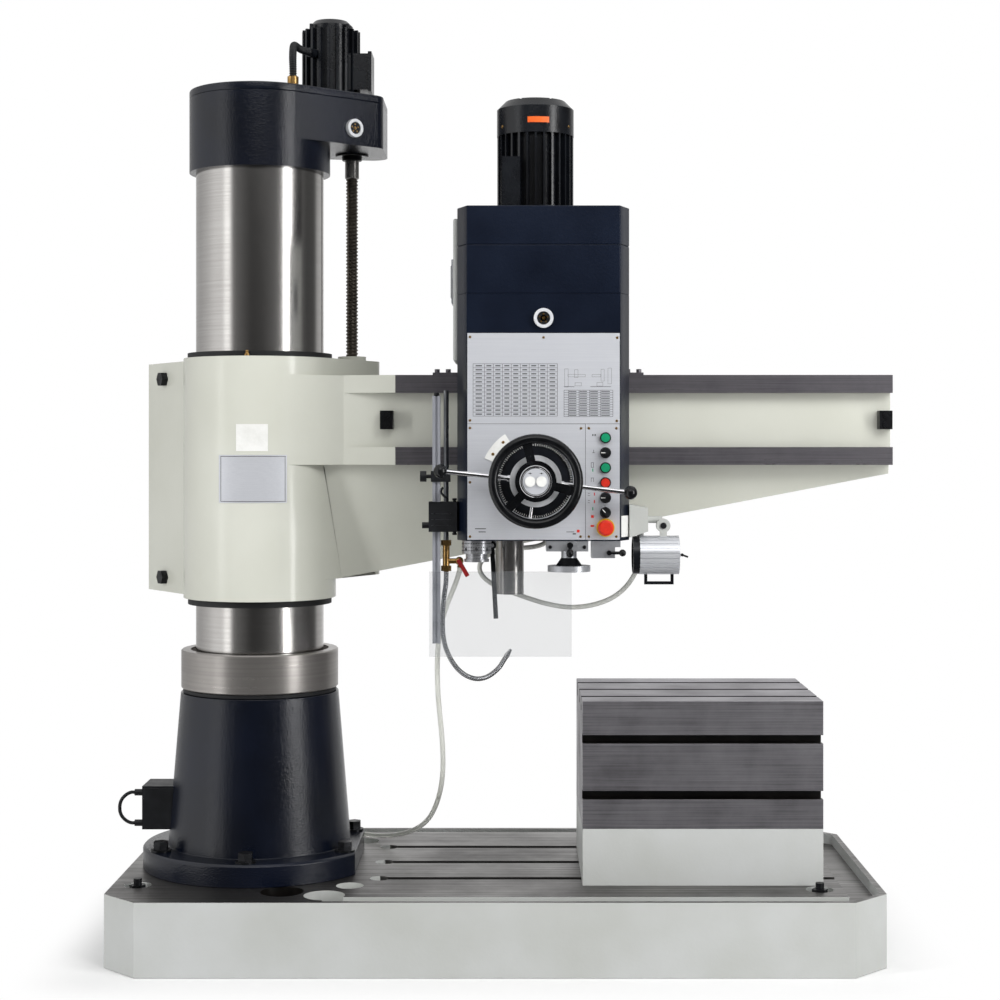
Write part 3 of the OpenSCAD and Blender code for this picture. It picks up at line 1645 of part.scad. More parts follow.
module valve_handle() {
  color("firebrick") to_front(pipe_x + branch_l, guard_y - valve_r - slide_gap, head_z - branch_drop) {
    cylinder(r = valve_stem_r, h = valve_stem_l - valve_r);
    translate([0, 0, valve_stem_l - valve_r - valve_grip_t]) rotate([0, 0, valve_grip_turn])
      bar([-valve_grip_w / 2, -valve_grip_w / 2, 0], [valve_grip_l, valve_grip_w / 2, valve_grip_t]);
  }
}

// Lamp

module lamp_bracket() {
  low = head_z + lamp_bracket_rise;
  nose = low + lamp_bracket_nose;
  stem_z = head_z + lamp_stem_rise;
  color("whitesmoke") {
    to_front(0, -lamp_bracket_back, 0) linear_extrude(lamp_bracket_front - lamp_bracket_back) polygon([
      [lamp_bracket_x, low], [lamp_bracket_x + lamp_bracket_w, nose],
      [lamp_bracket_x + lamp_bracket_w, nose + lamp_bracket_low], [lamp_bracket_x, low + lamp_bracket_tall]
    ]);
    translate([lamp_bracket_x + lamp_bracket_w - overrun, lamp_y + slide_gap + lamp_stem_r, stem_z])
      rod_x(lamp_stem_r - seat_gap, lamp_stem_l);
    to_front(knuckle_x, lamp_y + knuckle_t, knuckle_z) {
      cylinder(r = knuckle_r, h = knuckle_t - slide_gap);
      cylinder(r = knuckle_pin_r, h = 2 * knuckle_t + slide_gap);
      translate([0, 0, 2 * knuckle_t + slide_gap]) cylinder(r = knuckle_cap_r, h = knuckle_t / 4);
    }
    translate([lamp_bracket_x + lamp_gland_x, -lamp_gland_y, low - lamp_gland_h])
      cylinder(r = lamp_gland_r, h = lamp_bracket_nose + lamp_gland_h);
  }
}

module lamp_conduit() {
  color("#d7d8d4") cord(lamp_conduit_route, lamp_conduit_r, [0, 1, 0]);
}

module lamp_body() {
  rim_x = lamp_x - lamp_l / 2 - lamp_rim_l;
  color("silver") {
    difference() {
      union() {
        translate([lamp_x - lamp_l / 2, lamp_y, lamp_z]) rotate([0, 90, 0]) linear_extrude(lamp_l)
          difference() {
            circle(r = lamp_r);
            for (k = [0:lamp_fins - 1]) rotate((k + 0.5) * 360 / lamp_fins)
              translate([lamp_r - lamp_fin_d, -lamp_fin_w / 4]) square([lamp_r, lamp_fin_w / 2]);
          }
        translate([rim_x, lamp_y, lamp_z]) rod_x(lamp_r - overrun, lamp_rim_l + overrun);
        to_front(knuckle_x, lamp_y, knuckle_z) cylinder(r = knuckle_r, h = knuckle_t);
        translate([knuckle_x - lamp_neck_w / 2, lamp_y - knuckle_t, lamp_z])
          cube([lamp_neck_w, knuckle_t, lamp_drop]);
        bar([lamp_x - bail_l / 2, lamp_y - bail_w / 2, lamp_z - lamp_r - bail_drop],
          [lamp_x + bail_l / 2, lamp_y + bail_w / 2, lamp_z - lamp_r + bail_inset]);
      }
      bar([lamp_x - bail_l / 2 + bail_w, lamp_y - bail_w, lamp_z - lamp_r - bail_drop + bail_w],
        [lamp_x + bail_l / 2 - bail_w, lamp_y + bail_w, lamp_z - lamp_r]);
      translate([rim_x - overrun, lamp_y, lamp_z]) rod_x(lamp_r - lamp_rim_t, lamp_lens_set + overrun);
      to_front(knuckle_x, lamp_y + overrun, knuckle_z)
        cylinder(r = knuckle_pin_r + run_fit, h = knuckle_t + 2 * overrun);
    }
    translate([lamp_x + lamp_l / 2, lamp_y, lamp_z]) rod_x(lamp_nut_r, lamp_nut_l);
  }
}

module lamp_switch() {
  toggle_x = lamp_x + lamp_l / 2 + lamp_nut_l + slide_gap + toggle_ball_r;
  color("#202124") translate([toggle_x, lamp_y, lamp_z]) rotate([0, toggle_turn, 0]) {
    rotate([90, 0, 0]) translate([0, 0, -toggle_ball_r]) cylinder(r = toggle_ball_r, h = 2 * toggle_ball_r);
    rod_x(toggle_r, toggle_l);
  }
}

base_casting();
pedestal();
base_bolts();
inner_column();
column_bearings();
box_table();
supply_box();
supply_cable();
coolant_pump();
supply_hose();
outer_column();
column_ring();
lift_housing();
lift_lid();
lift_sight_glass();
lift_motor();
motor_conduit();
lift_screw();
arm_casting();
sleeve_wipers();
arm_hardware();
lift_nut();
head_casting();
head_covers();
face_plates();
head_sight_glass();
spindle_motor();
motor_cowl();
head_gib();
switch_bezels();
hub_stem();
underside_boxes();
guard_bracket();
coolant_valve();
coolant_hose();
lamp_bracket();
lamp_conduit();
quill();
spindle();
feed_hub();
feed_levers();
traverse_wheel();
clamp_button();
release_button();
green_button_upper();
green_button_lower();
red_button();
selector_top();
selector_middle();
selector_lower();
estop_button();
speed_dial();
fine_feed_wheel();
shift_lever();
spindle_lever();
guard_post();
guard_shield();
valve_handle();
lamp_body();
lamp_switch();
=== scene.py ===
import json
from math import cos, hypot, pi, radians, sin

import bmesh
import bpy
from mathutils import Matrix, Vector

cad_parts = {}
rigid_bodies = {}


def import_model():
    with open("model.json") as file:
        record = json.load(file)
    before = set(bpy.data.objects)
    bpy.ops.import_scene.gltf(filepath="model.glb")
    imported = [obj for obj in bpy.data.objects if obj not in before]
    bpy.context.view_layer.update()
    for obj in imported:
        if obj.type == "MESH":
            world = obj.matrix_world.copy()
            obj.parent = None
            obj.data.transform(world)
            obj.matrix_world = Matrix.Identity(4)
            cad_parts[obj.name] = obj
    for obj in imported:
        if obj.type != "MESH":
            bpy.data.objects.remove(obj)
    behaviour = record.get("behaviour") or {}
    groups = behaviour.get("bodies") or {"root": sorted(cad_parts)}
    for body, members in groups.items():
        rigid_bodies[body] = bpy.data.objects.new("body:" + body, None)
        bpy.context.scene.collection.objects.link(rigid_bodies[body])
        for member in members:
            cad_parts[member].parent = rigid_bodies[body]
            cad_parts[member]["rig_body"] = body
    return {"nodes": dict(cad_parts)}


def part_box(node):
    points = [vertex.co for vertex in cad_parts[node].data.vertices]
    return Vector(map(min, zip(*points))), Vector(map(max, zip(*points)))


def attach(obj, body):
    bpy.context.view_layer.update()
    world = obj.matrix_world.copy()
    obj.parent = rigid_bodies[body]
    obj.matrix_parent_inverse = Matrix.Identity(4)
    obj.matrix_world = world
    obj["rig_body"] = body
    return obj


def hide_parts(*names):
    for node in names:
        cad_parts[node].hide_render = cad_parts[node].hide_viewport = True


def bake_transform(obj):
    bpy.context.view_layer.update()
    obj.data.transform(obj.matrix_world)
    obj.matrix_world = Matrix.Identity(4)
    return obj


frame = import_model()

scene = bpy.context.scene
for name in ("Cube", "Light", "Camera"):
    if name in bpy.data.objects:
        bpy.data.objects.remove(bpy.data.objects[name])
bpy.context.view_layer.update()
scene.view_settings.view_transform = "Standard"


def placed(name, data):
    """Links a new object to the scene."""
    made = bpy.data.objects.new(name, data)
    scene.collection.objects.link(made)
    return made


# Camera: level, in front of the drill, 5.26 m from the column's axis.
camera = placed("camera", bpy.data.cameras.new("camera"))
camera.location = (0.708, -5.263, 1.330)
camera.rotation_euler = (radians(90), 0, 0)
camera.data.sensor_width = 36
camera.data.lens = 68.47
camera.data.shift_x = -0.016
camera.data.shift_y = -0.050
scene.camera = camera


def linear(tone):
    """An sRGB hex colour as linear RGBA."""
    parts = [int(tone[i:i + 2], 16) / 255 for i in (1, 3, 5)]
    return [p / 12.92 if p <= 0.04045 else ((p + 0.055) / 1.055) ** 2.4 for p in parts] + [1.0]


def add(tree, kind, sockets=(), **settings):
    """Adds one node: settings are its properties, and sockets fill its inputs.

    An input takes a value, another node's output, or a node, whose first output it takes.
    """
    made = tree.nodes.new(kind)
    for key, value in settings.items():
        setattr(made, key, value)
    for key, value in dict(sockets).items():
        if isinstance(value, bpy.types.Node):
            value = value.outputs[0]
        if isinstance(value, bpy.types.NodeSocket):
            tree.links.new(value, made.inputs[key])
        else:
            made.inputs[key].default_value = value
    return made


def maths(tree, operation, *values):
    """A node that works on numbers."""
    return add(tree, "ShaderNodeMath", enumerate(values), operation=operation)


def vectors(tree, operation, *values, **named):
    """A node that works on vectors."""
    return add(tree, "ShaderNodeVectorMath", {**dict(enumerate(values)), **named}, operation=operation)


def noise(tree, place, size_mm, detail, roughness=0.5):
    """Cloudy noise in patches of about that size."""
    return add(tree, "ShaderNodeTexNoise",
        {"Vector": place, "Scale": 1000 / size_mm, "Detail": detail, "Roughness": roughness})


def fresh(name):
    """A new material with an empty tree, and its Object coordinates."""
    material = bpy.data.materials.new(name)
    material.use_nodes = True
    tree = material.node_tree
    tree.nodes.clear()
    return material, tree, add(tree, "ShaderNodeTexCoord").outputs["Object"]


def surfaced(tree, wear, span, tones, gloss, grain=None, depth_mm=0.0, strength=0.0, **plain):
    """Ends a material's tree in one Principled shader.

    Wear over its span leads from the first tone and roughness to the second, and grain is bump.
    """
    spread = add(tree, "ShaderNodeMapRange", {"Value": wear, "From Min": span[0], "From Max": span[1]})
    tint = add(tree, "ShaderNodeMix", {0: spread, 6: linear(tones[0]), 7: linear(tones[1])},
               data_type="RGBA")
    rough = add(tree, "ShaderNodeMapRange", {"Value": spread, "To Min": gloss[0], "To Max": gloss[1]})
    sockets = {key.replace("_", " "): value for key, value in plain.items()}
    sockets.update({"Base Color": tint.outputs[2], "Roughness": rough})
    if grain:
        sockets["Normal"] = add(tree, "ShaderNodeBump",
            {"Height": grain, "Distance": depth_mm / 1000, "Strength": strength})
    add(tree, "ShaderNodeOutputMaterial", {"Surface": add(tree, "ShaderNodeBsdfPrincipled", sockets)})


def sprayed(name, tone, shade, roughness, peel_mm, depth_mm, cloud_mm=260, metallic=0.0, specular=0.5):
    """Paint on a casting or a sheet: slow clouds of shade, and the dimples that the spray leaves."""
    material, tree, place = fresh(name)
    cloud = noise(tree, place, cloud_mm, 5.0)
    peel = noise(tree, place, peel_mm, 2.0)
    surfaced(tree, cloud, (0.35, 0.65), (tone, shade), (roughness * 0.88, roughness * 1.12),
             peel, depth_mm, 0.8, Metallic=metallic, Specular_IOR_Level=specular)
    return material


def cut(name, bright, dull, roughness, lay, line_mm, depth_mm=0.02, stain_mm=180, metallic=1.0, drift=0.25):
    """Machined metal: tool lines of that width along the axes of the lay, and stains of oil and age."""
    material, tree, place = fresh(name)
    stretch = [(0.012 if along else 1.0) * 1000 / line_mm for along in lay]
    lines = add(tree, "ShaderNodeMapping", {"Vector": place, "Scale": stretch})
    grain = add(tree, "ShaderNodeTexNoise", {"Vector": lines, "Scale": 1.0, "Detail": 3.0, "Roughness": 0.65})
    stain = noise(tree, place, stain_mm, 6.0, 0.6)
    both = maths(tree, "ADD", grain, stain)
    surfaced(tree, both, (0.75, 1.25), (bright, dull), (roughness * (1 - drift), roughness * (1 + drift)),
             grain, depth_mm, 0.5, Metallic=metallic)
    return material


def moulded(name, tone, shade, roughness, grain_mm=1.2, depth_mm=0.03, specular=0.5):
    """Moulded plastic or rubber: an even colour that scuffs lighten a little, over a fine mould grain."""
    material, tree, place = fresh(name)
    scuff_mm = 45
    scuff = noise(tree, place, scuff_mm, 6.0, 0.7)
    grain = noise(tree, place, grain_mm, 2.0)
    surfaced(tree, scuff, (0.42, 0.7), (tone, shade), (roughness, roughness * 1.3),
             grain, depth_mm, 0.4, Specular_IOR_Level=specular)
    return material


def clear(name, tone, shade, ior, roughness, transmission, alpha=1.0):
    """A clear moulding: faint haze and fine scratches that roughen it here and there."""
    material, tree, place = fresh(name)
    haze_mm = 60
    haze = noise(tree, place, haze_mm, 7.0, 0.65)
    surfaced(tree, haze, (0.4, 0.7), (tone, shade), (roughness, roughness + 0.12),
             IOR=ior, Transmission_Weight=transmission, Alpha=alpha)
    return material


# Lays of tool lines: along one axis, round one axis, or none.
along_x, along_z, round_z, round_y, no_lay = (1, 0, 0), (0, 0, 1), (1, 1, 0), (1, 0, 1), (0, 0, 0)

# Two-pack machine enamel sprayed over filler: near-black blue with orange-peel dimples that break up
# every highlight. The real dimples are about 3 mm, drawn at 4 mm so that they show.
navy_enamel = sprayed("navy_machine_enamel", "#070b15", "#0c1221", 0.23, 4.0, 1.05)
# The same enamel rolled thin on the head's flat covers: flatter, a little duller, still dimpled close up.
navy_cover_enamel = sprayed("navy_cover_enamel", "#0c121f", "#121a2a", 0.32, 7.0, 0.5, specular=0.26)
# Cream gloss enamel on filled and rubbed castings: smooth, warm, with a soft broad highlight.
cream_enamel = sprayed("cream_gloss_enamel", "#d0d1c7", "#c8c9be", 0.20, 14.0, 0.15, 420)
# Off-white primer enamel brushed on the base: flatter, with uneven, slightly dirty patches.
white_enamel = sprayed("off_white_base_enamel", "#c4c6c5", "#b7b9b5", 0.48, 9.0, 0.3, 330)
# Black stove enamel on motor castings: satin with a coarse casting texture under it.
black_stove_enamel = sprayed("black_stove_enamel", "#0c0d11", "#13161b", 0.27, 5.0, 0.4, 90, specular=0.45)
# Silver lacquer on small castings: fine metallic flake under a satin coat.
silver_lacquer = sprayed("silver_lacquer", "#b9bbbf", "#a5a7ac", 0.36, 4.0, 0.2, 120, metallic=0.6)
# Planed grey iron of the base's top: long tool lines, brownish oil stains, and a dull sheen.
planed_iron = cut("planed_grey_iron", "#868482", "#555352", 0.40, along_x, 9.0, 0.05, 300)
# Ground grey iron of the arm's slideways: close lines along the travel, dark with oil.
ground_iron = cut("ground_slideway_iron", "#8d8a8f", "#666369", 0.36, along_x, 5.0, 0.03, 150, 0.74)
# Milled grey iron of the box table: wide cutter bands across the faces over a dark, even ground.
milled_iron = cut("milled_table_iron", "#a3a1a6", "#69676b", 0.42, along_x, 5.0, 0.05, 150, 0.74)
# Top of the box table: the same iron with a duller sheen, its colour made paler as painted light on the top,
# which faces the light.
table_top_painted_light = cut("ground_table_top_iron", "#b1afb4", "#8f8d91", 0.52, along_x, 4.0, 0.03, 200, 0.7)
# Turned and ground steel of the column: bright, with the faint rings that the tool leaves round it.
turned_steel = cut("turned_column_steel", "#cbc9c6", "#bebbb8", 0.20, round_z, 4.0, 0.003, 260, drift=0.1)
# Rough-turned steel of the ring at the column's foot: browner and duller than the column.
ring_steel = cut("rough_turned_ring_steel", "#a8a4a0", "#979390", 0.30, round_z, 5.0, 0.006, 260, 0.8, 0.1)
# Ground spindle steel: the same steel, finer and a shade darker.
spindle_steel = cut("ground_spindle_steel", "#a09e9c", "#8e8b89", 0.24, round_z, 3.0, 0.002, 90, 0.8, 0.1)
# Thread-rolled lift screw: brown with old grease in its flanks, bright on the crests.
greased_steel = cut("greased_screw_steel", "#7c766d", "#5d5750", 0.34, no_lay, 60.0, 0.02, 240)
# Chrome plate on levers and rings: a mirror with a very faint cloud.
chrome_plate = cut("chrome_plate", "#e6e6e8", "#d2d2d6", 0.08, no_lay, 40.0, 0.004, 80)
# Satin aluminium sheet of the front plates under a matt clear film: brushed along X, cool and pale,
# hardly mirroring.
satin_aluminium = cut("brushed_aluminium_sheet", "#cdcfd4", "#c5c7cd", 0.42, along_x, 3.0, 0.004, 300,
                      0.3, 0.08)
# Polished extruded aluminium of the lamp: drawn lines along its length, bright flutes.
drawn_aluminium = cut("drawn_aluminium", "#e4e6ea", "#d3d5da", 0.24, along_x, 3.0, 0.005, 200, 0.5, 0.1)
# Turned aluminium of dials: rings round the axis seen as a soft bright sheen.
dial_aluminium = cut("turned_dial_aluminium", "#e6e7ea", "#d6d8db", 0.32, round_y, 2.5, 0.01, 80, 0.25)
# Clear anodised extrusion of the guard post: drawn lines along its length under a matt skin.
clear_anodised = cut("clear_anodised_extrusion", "#b4b6be", "#9ea0a8", 0.36, along_z, 3.0, 0.01, 120, 0.35)
# Grey anodised aluminium of the speed dial: the same turning under a darker, flatter skin.
grey_anodised = cut("grey_anodised_aluminium", "#a3a4a7", "#8d8e92", 0.30, round_z, 2.5, 0.01, 80, 0.7)
# Black-oxide steel of screws and nuts: blue-black, oily, with worn corners.
black_oxide = cut("black_oxide_steel", "#2b2c2f", "#121315", 0.36, no_lay, 20.0, 0.02, 40, 0.7)
# Zinc-plated pipe: cool grey, slightly cloudy.
zinc_plate = cut("zinc_plated_pipe", "#9c9fa3", "#7b7d81", 0.34, along_z, 8.0, 0.01, 60)
# Sand-cast and turned brass fittings: yellow, dulled in patches by handling.
brass_cast = cut("cast_brass", "#cfa86c", "#9c7845", 0.32, no_lay, 14.0, 0.02, 30)
# Strip-wound steel of the coolant spout: bright crests and dark grooves.
stripwound = cut("stripwound_steel", "#b4b5b8", "#7e7f82", 0.26, no_lay, 12.0, 0.01, 30)
# Phenolic resin of lever balls and the handwheel: deep black under a wet-looking gloss.
phenolic = moulded("black_phenolic_resin", "#08090b", "#121316", 0.22, 3.0, 0.01, specular=0.4)
# Black ABS of boxes and switch bodies: matt with a fine spark texture.
black_abs = moulded("black_abs", "#0d0e11", "#17191d", 0.46)
# Nitrile rubber of wipers and the supply cable: dull black with a grey bloom.
nitrile = moulded("nitrile_rubber", "#111214", "#1d1e20", 0.55, 2.0, 0.05)
# White, green and red thermoplastic of the push buttons: clean, even, softly glossy.
white_nylon = moulded("white_nylon", "#e9e9e6", "#dcdcd8", 0.30)
green_nylon = moulded("green_nylon", "#0f9a6b", "#0c7f58", 0.28)
red_nylon = moulded("red_nylon", "#d8301f", "#b92616", 0.28)
# Yellow nylon of the collar under the emergency stop: warm, even.
yellow_nylon = moulded("yellow_nylon", "#e0b01c", "#c99a12", 0.32)
# Red vinyl dip on the valve's lever: soft gloss with thin places.
red_vinyl = moulded("red_vinyl_dip", "#8a1517", "#690f11", 0.34)
# Clear acrylic sheet of the guard: a faint grey pane. It is drawn by its opacity, because a thin flat
# sheet bends no light that shows.
acrylic = clear("clear_acrylic_sheet", "#8d9195", "#83878b", 1.49, 0.06, 0.0, alpha=0.14)
# Sawn and polished edge of the same sheet: the light that the pane gathers shows there as pale grey.
acrylic_edge = moulded("polished_acrylic_edge", "#d3d6d6", "#c3c7c7", 0.22)
# Soft clear PVC of the coolant hose: milky walls that pass light.
clear_pvc = clear("soft_clear_pvc", "#e9eae4", "#dcddd6", 1.35, 0.28, 0.55)
# Pale PVC sheath of the lamp's conduit: off-white, satin.
pale_pvc = moulded("pale_pvc_sheath", "#d6d7d1", "#c4c5bf", 0.40)
# Screen ink on the plates: black, thin, faintly broken.
screen_ink = moulded("black_screen_ink", "#16171a", "#25262a", 0.50)
# Orange film stuck on the fan cowl: bright and flat.
orange_film = moulded("orange_film", "#e5641d", "#d85212", 0.38)
# Painted shade on the walls of the sump and in the table's slots: nearly black with a patchy gloss, standing
# in for the shade deep in these recesses.
recess_shade_black = moulded("dried_oil_film", "#0b0a09", "#171512", 0.30, 6.0, 0.2)
# Satin black anodised dial plate: deep blue-black with a low sheen.
black_anodised = moulded("black_anodised_plate", "#0d0f14", "#161920", 0.30, 2.0, 0.01)


def looked(tree):
    """The outputs of Light Path, and a node that is 1 for what the camera sees, through glass too."""
    ray = add(tree, "ShaderNodeLightPath").outputs
    return ray, maths(tree, "MAXIMUM", ray["Is Camera Ray"], ray["Is Transmission Ray"])


# World: white to the camera and through glass. Metal mirrors a room whose walls are graded by the
# way they lie, in degrees from the camera's side, so that it has contrast, and a pale ceiling.
# Diffuse light gets an even fill.
room_stops = [(-180, 1.0), (-150, 0.48), (-125, 0.50), (-100, 0.68), (-81, 0.95), (-61, 0.95), (-58, 1.7),
              (-48, 1.7), (-44, 0.16), (-30, 0.14), (-8, 0.04), (10, 0.05), (34, 0.12), (80, 0.16),
              (100, 0.07), (124, 0.09), (134, 0.50), (155, 0.60), (180, 1.0)]
ceiling_level, fill_level, white = 0.85, 0.38, (1, 1, 1, 1)
world = bpy.data.worlds.new("white_studio")
scene.world = world
world.use_nodes = True
sky = world.node_tree
sky.nodes.clear()
way = add(sky, "ShaderNodeSeparateXYZ", {0: add(sky, "ShaderNodeTexCoord").outputs["Generated"]})
front = maths(sky, "MULTIPLY", way.outputs["Y"], -1.0)
turn = maths(sky, "ARCTAN2", way.outputs["X"], front)
share = add(sky, "ShaderNodeMapRange", {"Value": turn, "From Min": -pi, "From Max": pi})
room = add(sky, "ShaderNodeValToRGB", {"Fac": share})
while len(room.color_ramp.elements) < len(room_stops):
    room.color_ramp.elements.new(0.5)
for element, (degrees, level) in zip(room.color_ramp.elements, room_stops):
    element.position = (degrees + 180) / 360
    element.color = (level, level, level, 1.0)
overhead = add(sky, "ShaderNodeMapRange", {"Value": way.outputs["Z"], "From Min": 0.35, "From Max": 0.75},
               interpolation_type="SMOOTHSTEP")
walls = add(sky, "ShaderNodeMix", {0: overhead, 2: room, 3: ceiling_level})
ray, seen = looked(sky)
fill = add(sky, "ShaderNodeMix", {0: ray["Is Glossy Ray"], 2: fill_level, 3: walls})
level = add(sky, "ShaderNodeMix", {0: seen, 2: fill, 3: 1.0})
backdrop = add(sky, "ShaderNodeBackground", {"Color": white, "Strength": level})
add(sky, "ShaderNodeOutputWorld", {"Surface": backdrop})

# Floor: matt white close to the base, where it takes the shadow, and as white as the backdrop
# a quarter of a metre out.
base_middle, base_half, shadow_reach = (0.655, 0.0, 0.0), (1.005, 0.475, 0.0), 0.22
floor_tone, bounce_tone = (0.95, 0.95, 0.95, 1.0), (0.72, 0.72, 0.72, 1.0)
floor_paint, tree, place = fresh("matt_white_floor")
centred = vectors(tree, "SUBTRACT", place, base_middle)
side = vectors(tree, "ABSOLUTE", centred)
beyond = vectors(tree, "SUBTRACT", side, base_half)
outside = vectors(tree, "MAXIMUM", beyond, (0.0, 0.0, 0.0))
flat = vectors(tree, "LENGTH", outside)
reach = add(tree, "ShaderNodeMapRange", {"Value": flat.outputs["Value"], "From Max": shadow_reach},
            interpolation_type="SMOOTHSTEP")
ray, seen = looked(tree)
bounced = add(tree, "ShaderNodeMix", {0: ray["Is Diffuse Ray"], 6: floor_tone, 7: bounce_tone},
              data_type="RGBA")
matt = add(tree, "ShaderNodeBsdfDiffuse", {"Color": bounced.outputs[2]})
fade = maths(tree, "MULTIPLY", reach, seen)
glow = add(tree, "ShaderNodeEmission", {"Color": white, "Strength": 1.0})
ground = add(tree, "ShaderNodeMixShader", {0: fade, 1: matt, 2: glow})
add(tree, "ShaderNodeOutputMaterial", {"Surface": ground})
floor_mesh = bpy.data.meshes.new("floor")
floor_corners = [(-14, -9, -0.001), (15, -9, -0.001), (15, 22, -0.001), (-14, 22, -0.001)]
floor_mesh.from_pydata(floor_corners, [], [(0, 1, 2, 3)])
floor_mesh.materials.append(floor_paint)
floor = placed("floor", floor_mesh)
floor.visible_glossy = False

# Lamps: tall softboxes on both sides, the right one showing in metal as a streak, a large one above
# the camera, and plain fills in front and behind. Each has its place, width, height, watts, and
# whether metal mirrors it.
lit_point = Vector((0.5, 0.0, 1.25))
softboxes = [("softbox_right", (4.55, -2.95, 1.9), 1.2, 3.8, 100, True),
             ("softbox_front", (3.1, -3.7, 4.2), 2.2, 2.4, 118, False),
             ("softbox_left", (-3.3, -2.6, 1.8), 0.5, 3.0, 78, False),
             ("softbox_above", (0.6, -4.4, 4.6), 3.2, 2.2, 36, True),
             ("softbox_behind", (0.9, 4.6, 2.6), 3.0, 2.4, 70, False)]
for name, spot, width, height, watts, mirrored in softboxes:
    lamp = placed(name, bpy.data.lights.new(name, "AREA"))
    lamp.data.shape = "RECTANGLE"
    lamp.data.size, lamp.data.size_y, lamp.data.energy = width, height, watts
    lamp.location = spot
    lamp.rotation_euler = (lit_point - lamp.location).to_track_quat("-Z", "Y").to_euler()
    lamp.visible_glossy = mirrored


def mm(*numbers):
    """Millimetres to a point in metres."""
    return Vector([n / 1000 for n in numbers])


def shown(name, mesh, body, slot, *nodes):
    """Links a finished mesh as a piece that rides on a body and stands for those CAD nodes."""
    piece = placed(name, mesh)
    if body:
        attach(piece, body)
    if nodes:
        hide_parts(*nodes)
    return piece


def evaluated(rough):
    """The plain mesh that an object's modifiers give; the object goes."""
    made = bpy.data.meshes.new_from_object(rough.evaluated_get(bpy.context.evaluated_depsgraph_get()))
    bpy.data.objects.remove(rough)
    return made


def which(coats, centre, normal):
    """A face's coat: each is a material and a test on its centre and normal, the last without a test."""
    return next(i for i, (_, test) in enumerate(coats) if test is None or test(centre, normal))


def dressed(mesh, finishes):
    """Fills a mesh's material slots."""
    mesh.materials.clear()
    for finish in finishes:
        mesh.materials.append(finish)
    return mesh


def coat(node, *coats):
    """Gives a CAD node its materials, face by face."""
    mesh = dressed(frame["nodes"][node].data, [material for material, _ in coats])
    for face in mesh.polygons:
        face.material_index = which(coats, face.center, face.normal)


def softened(node, edge_mm, slot, *coats, crisp=0.25, split=()):
    """A merged copy of a CAD casting, cut along planes, with its edges rounded.

    The last coat is the paint, and edges of the others stay crisp.
    """
    source = frame["nodes"][node]
    shape = bmesh.new()
    shape.from_mesh(source.data)
    bmesh.ops.remove_doubles(shape, verts=shape.verts, dist=1e-5)
    bmesh.ops.dissolve_limit(shape, angle_limit=radians(0.6), verts=shape.verts, edges=shape.edges)
    for place, across in split:
        bmesh.ops.bisect_plane(shape, geom=shape.verts[:] + shape.edges[:] + shape.faces[:],
                               plane_co=mm(*place), plane_no=across)
    weight = shape.edges.layers.float.new("bevel_weight_edge")
    for face in shape.faces:
        face.material_index = which(coats, face.calc_center_median(), face.normal)
        face.smooth = True
    for edge in shape.edges:
        if len(edge.link_faces) == 2 and edge.calc_face_angle(0) > radians(28):
            painted = all(face.material_index == len(coats) - 1 for face in edge.link_faces)
            edge[weight] = 1.0 if painted else crisp
    mesh = dressed(bpy.data.meshes.new(node + "_rough"), [material for material, _ in coats])
    shape.to_mesh(mesh)
    shape.free()
    rough = placed(node + "_rough", mesh)
    bevel = rough.modifiers.new("edges", "BEVEL")
    bevel.width, bevel.segments, bevel.limit_method = edge_mm / 1000, 2, "WEIGHT"
    rough.modifiers.new("flats", "WEIGHTED_NORMAL").keep_sharp = True
    shown(node + "_cast", evaluated(rough), source["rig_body"], slot, node)


def tree_of(name, **inputs):
    """A new geometry tree with named inputs for its sizes and its finish; returns the tree and its inputs."""
    tree = bpy.data.node_groups.new(name, "GeometryNodeTree")
    tree.interface.new_socket("Geometry", in_out="INPUT", socket_type="NodeSocketGeometry")
    for key, kind in {**inputs, "Finish": "Material"}.items():
        tree.interface.new_socket(key.replace("_", " "), in_out="INPUT", socket_type="NodeSocket" + kind)
    tree.interface.new_socket("Geometry", in_out="OUTPUT", socket_type="NodeSocketGeometry")
    return tree, add(tree, "NodeGroupInput").outputs


def ended(tree, given, shape):
    """Ends a geometry tree and returns it: its instances become real and take the finish."""
    whole = add(tree, "GeometryNodeRealizeInstances", {"Geometry": shape})
    add(tree, "NodeGroupOutput",
        {0: add(tree, "GeometryNodeSetMaterial", {"Geometry": whole, "Material": given["Finish"]})})
    return tree


def grown(name, tree, data, **sizes):
    """Runs a tree on seed data, with its inputs set by identifier, and returns the result as a plain mesh."""
    seed = placed(name + "_seed", data)
    run = seed.modifiers.new("tree", "NODES")
    run.node_group = tree
    for item in tree.interface.items_tree:
        key = item.name.replace(" ", "_")
        if item.in_out == "INPUT" and key in sizes:
            run[item.identifier] = sizes[key]
    made = evaluated(seed)
    made.name = name
    return made


def smooth_route(points, steps=8):
    """A smooth line through points in millimetres, as points in metres."""
    knots = [mm(*p) for p in points]
    padded = [2 * knots[0] - knots[1]] + knots + [2 * knots[-1] - knots[-2]]
    line = []
    for a, b, c, d in zip(padded, padded[1:], padded[2:], padded[3:]):
        for k in range(steps):
            t = k / steps
            line.append(0.5 * (2 * b + (c - a) * t + (2 * a - 5 * b + 4 * c - d) * t * t
                               + (3 * b - a - 3 * c + d) * t ** 3))
    return line + [knots[-1]]


def length_of(line):
    return sum((b - a).length for a, b in zip(line, line[1:]))


def curve_of(name, line):
    """An open poly curve through points in metres."""
    curve = bpy.data.curves.new(name, "CURVE")
    curve.dimensions = "3D"
    spline = curve.splines.new("POLY")
    spline.points.add(len(line) - 1)
    for point, at in zip(spline.points, line):
        point.co = (*at, 1.0)
    return curve


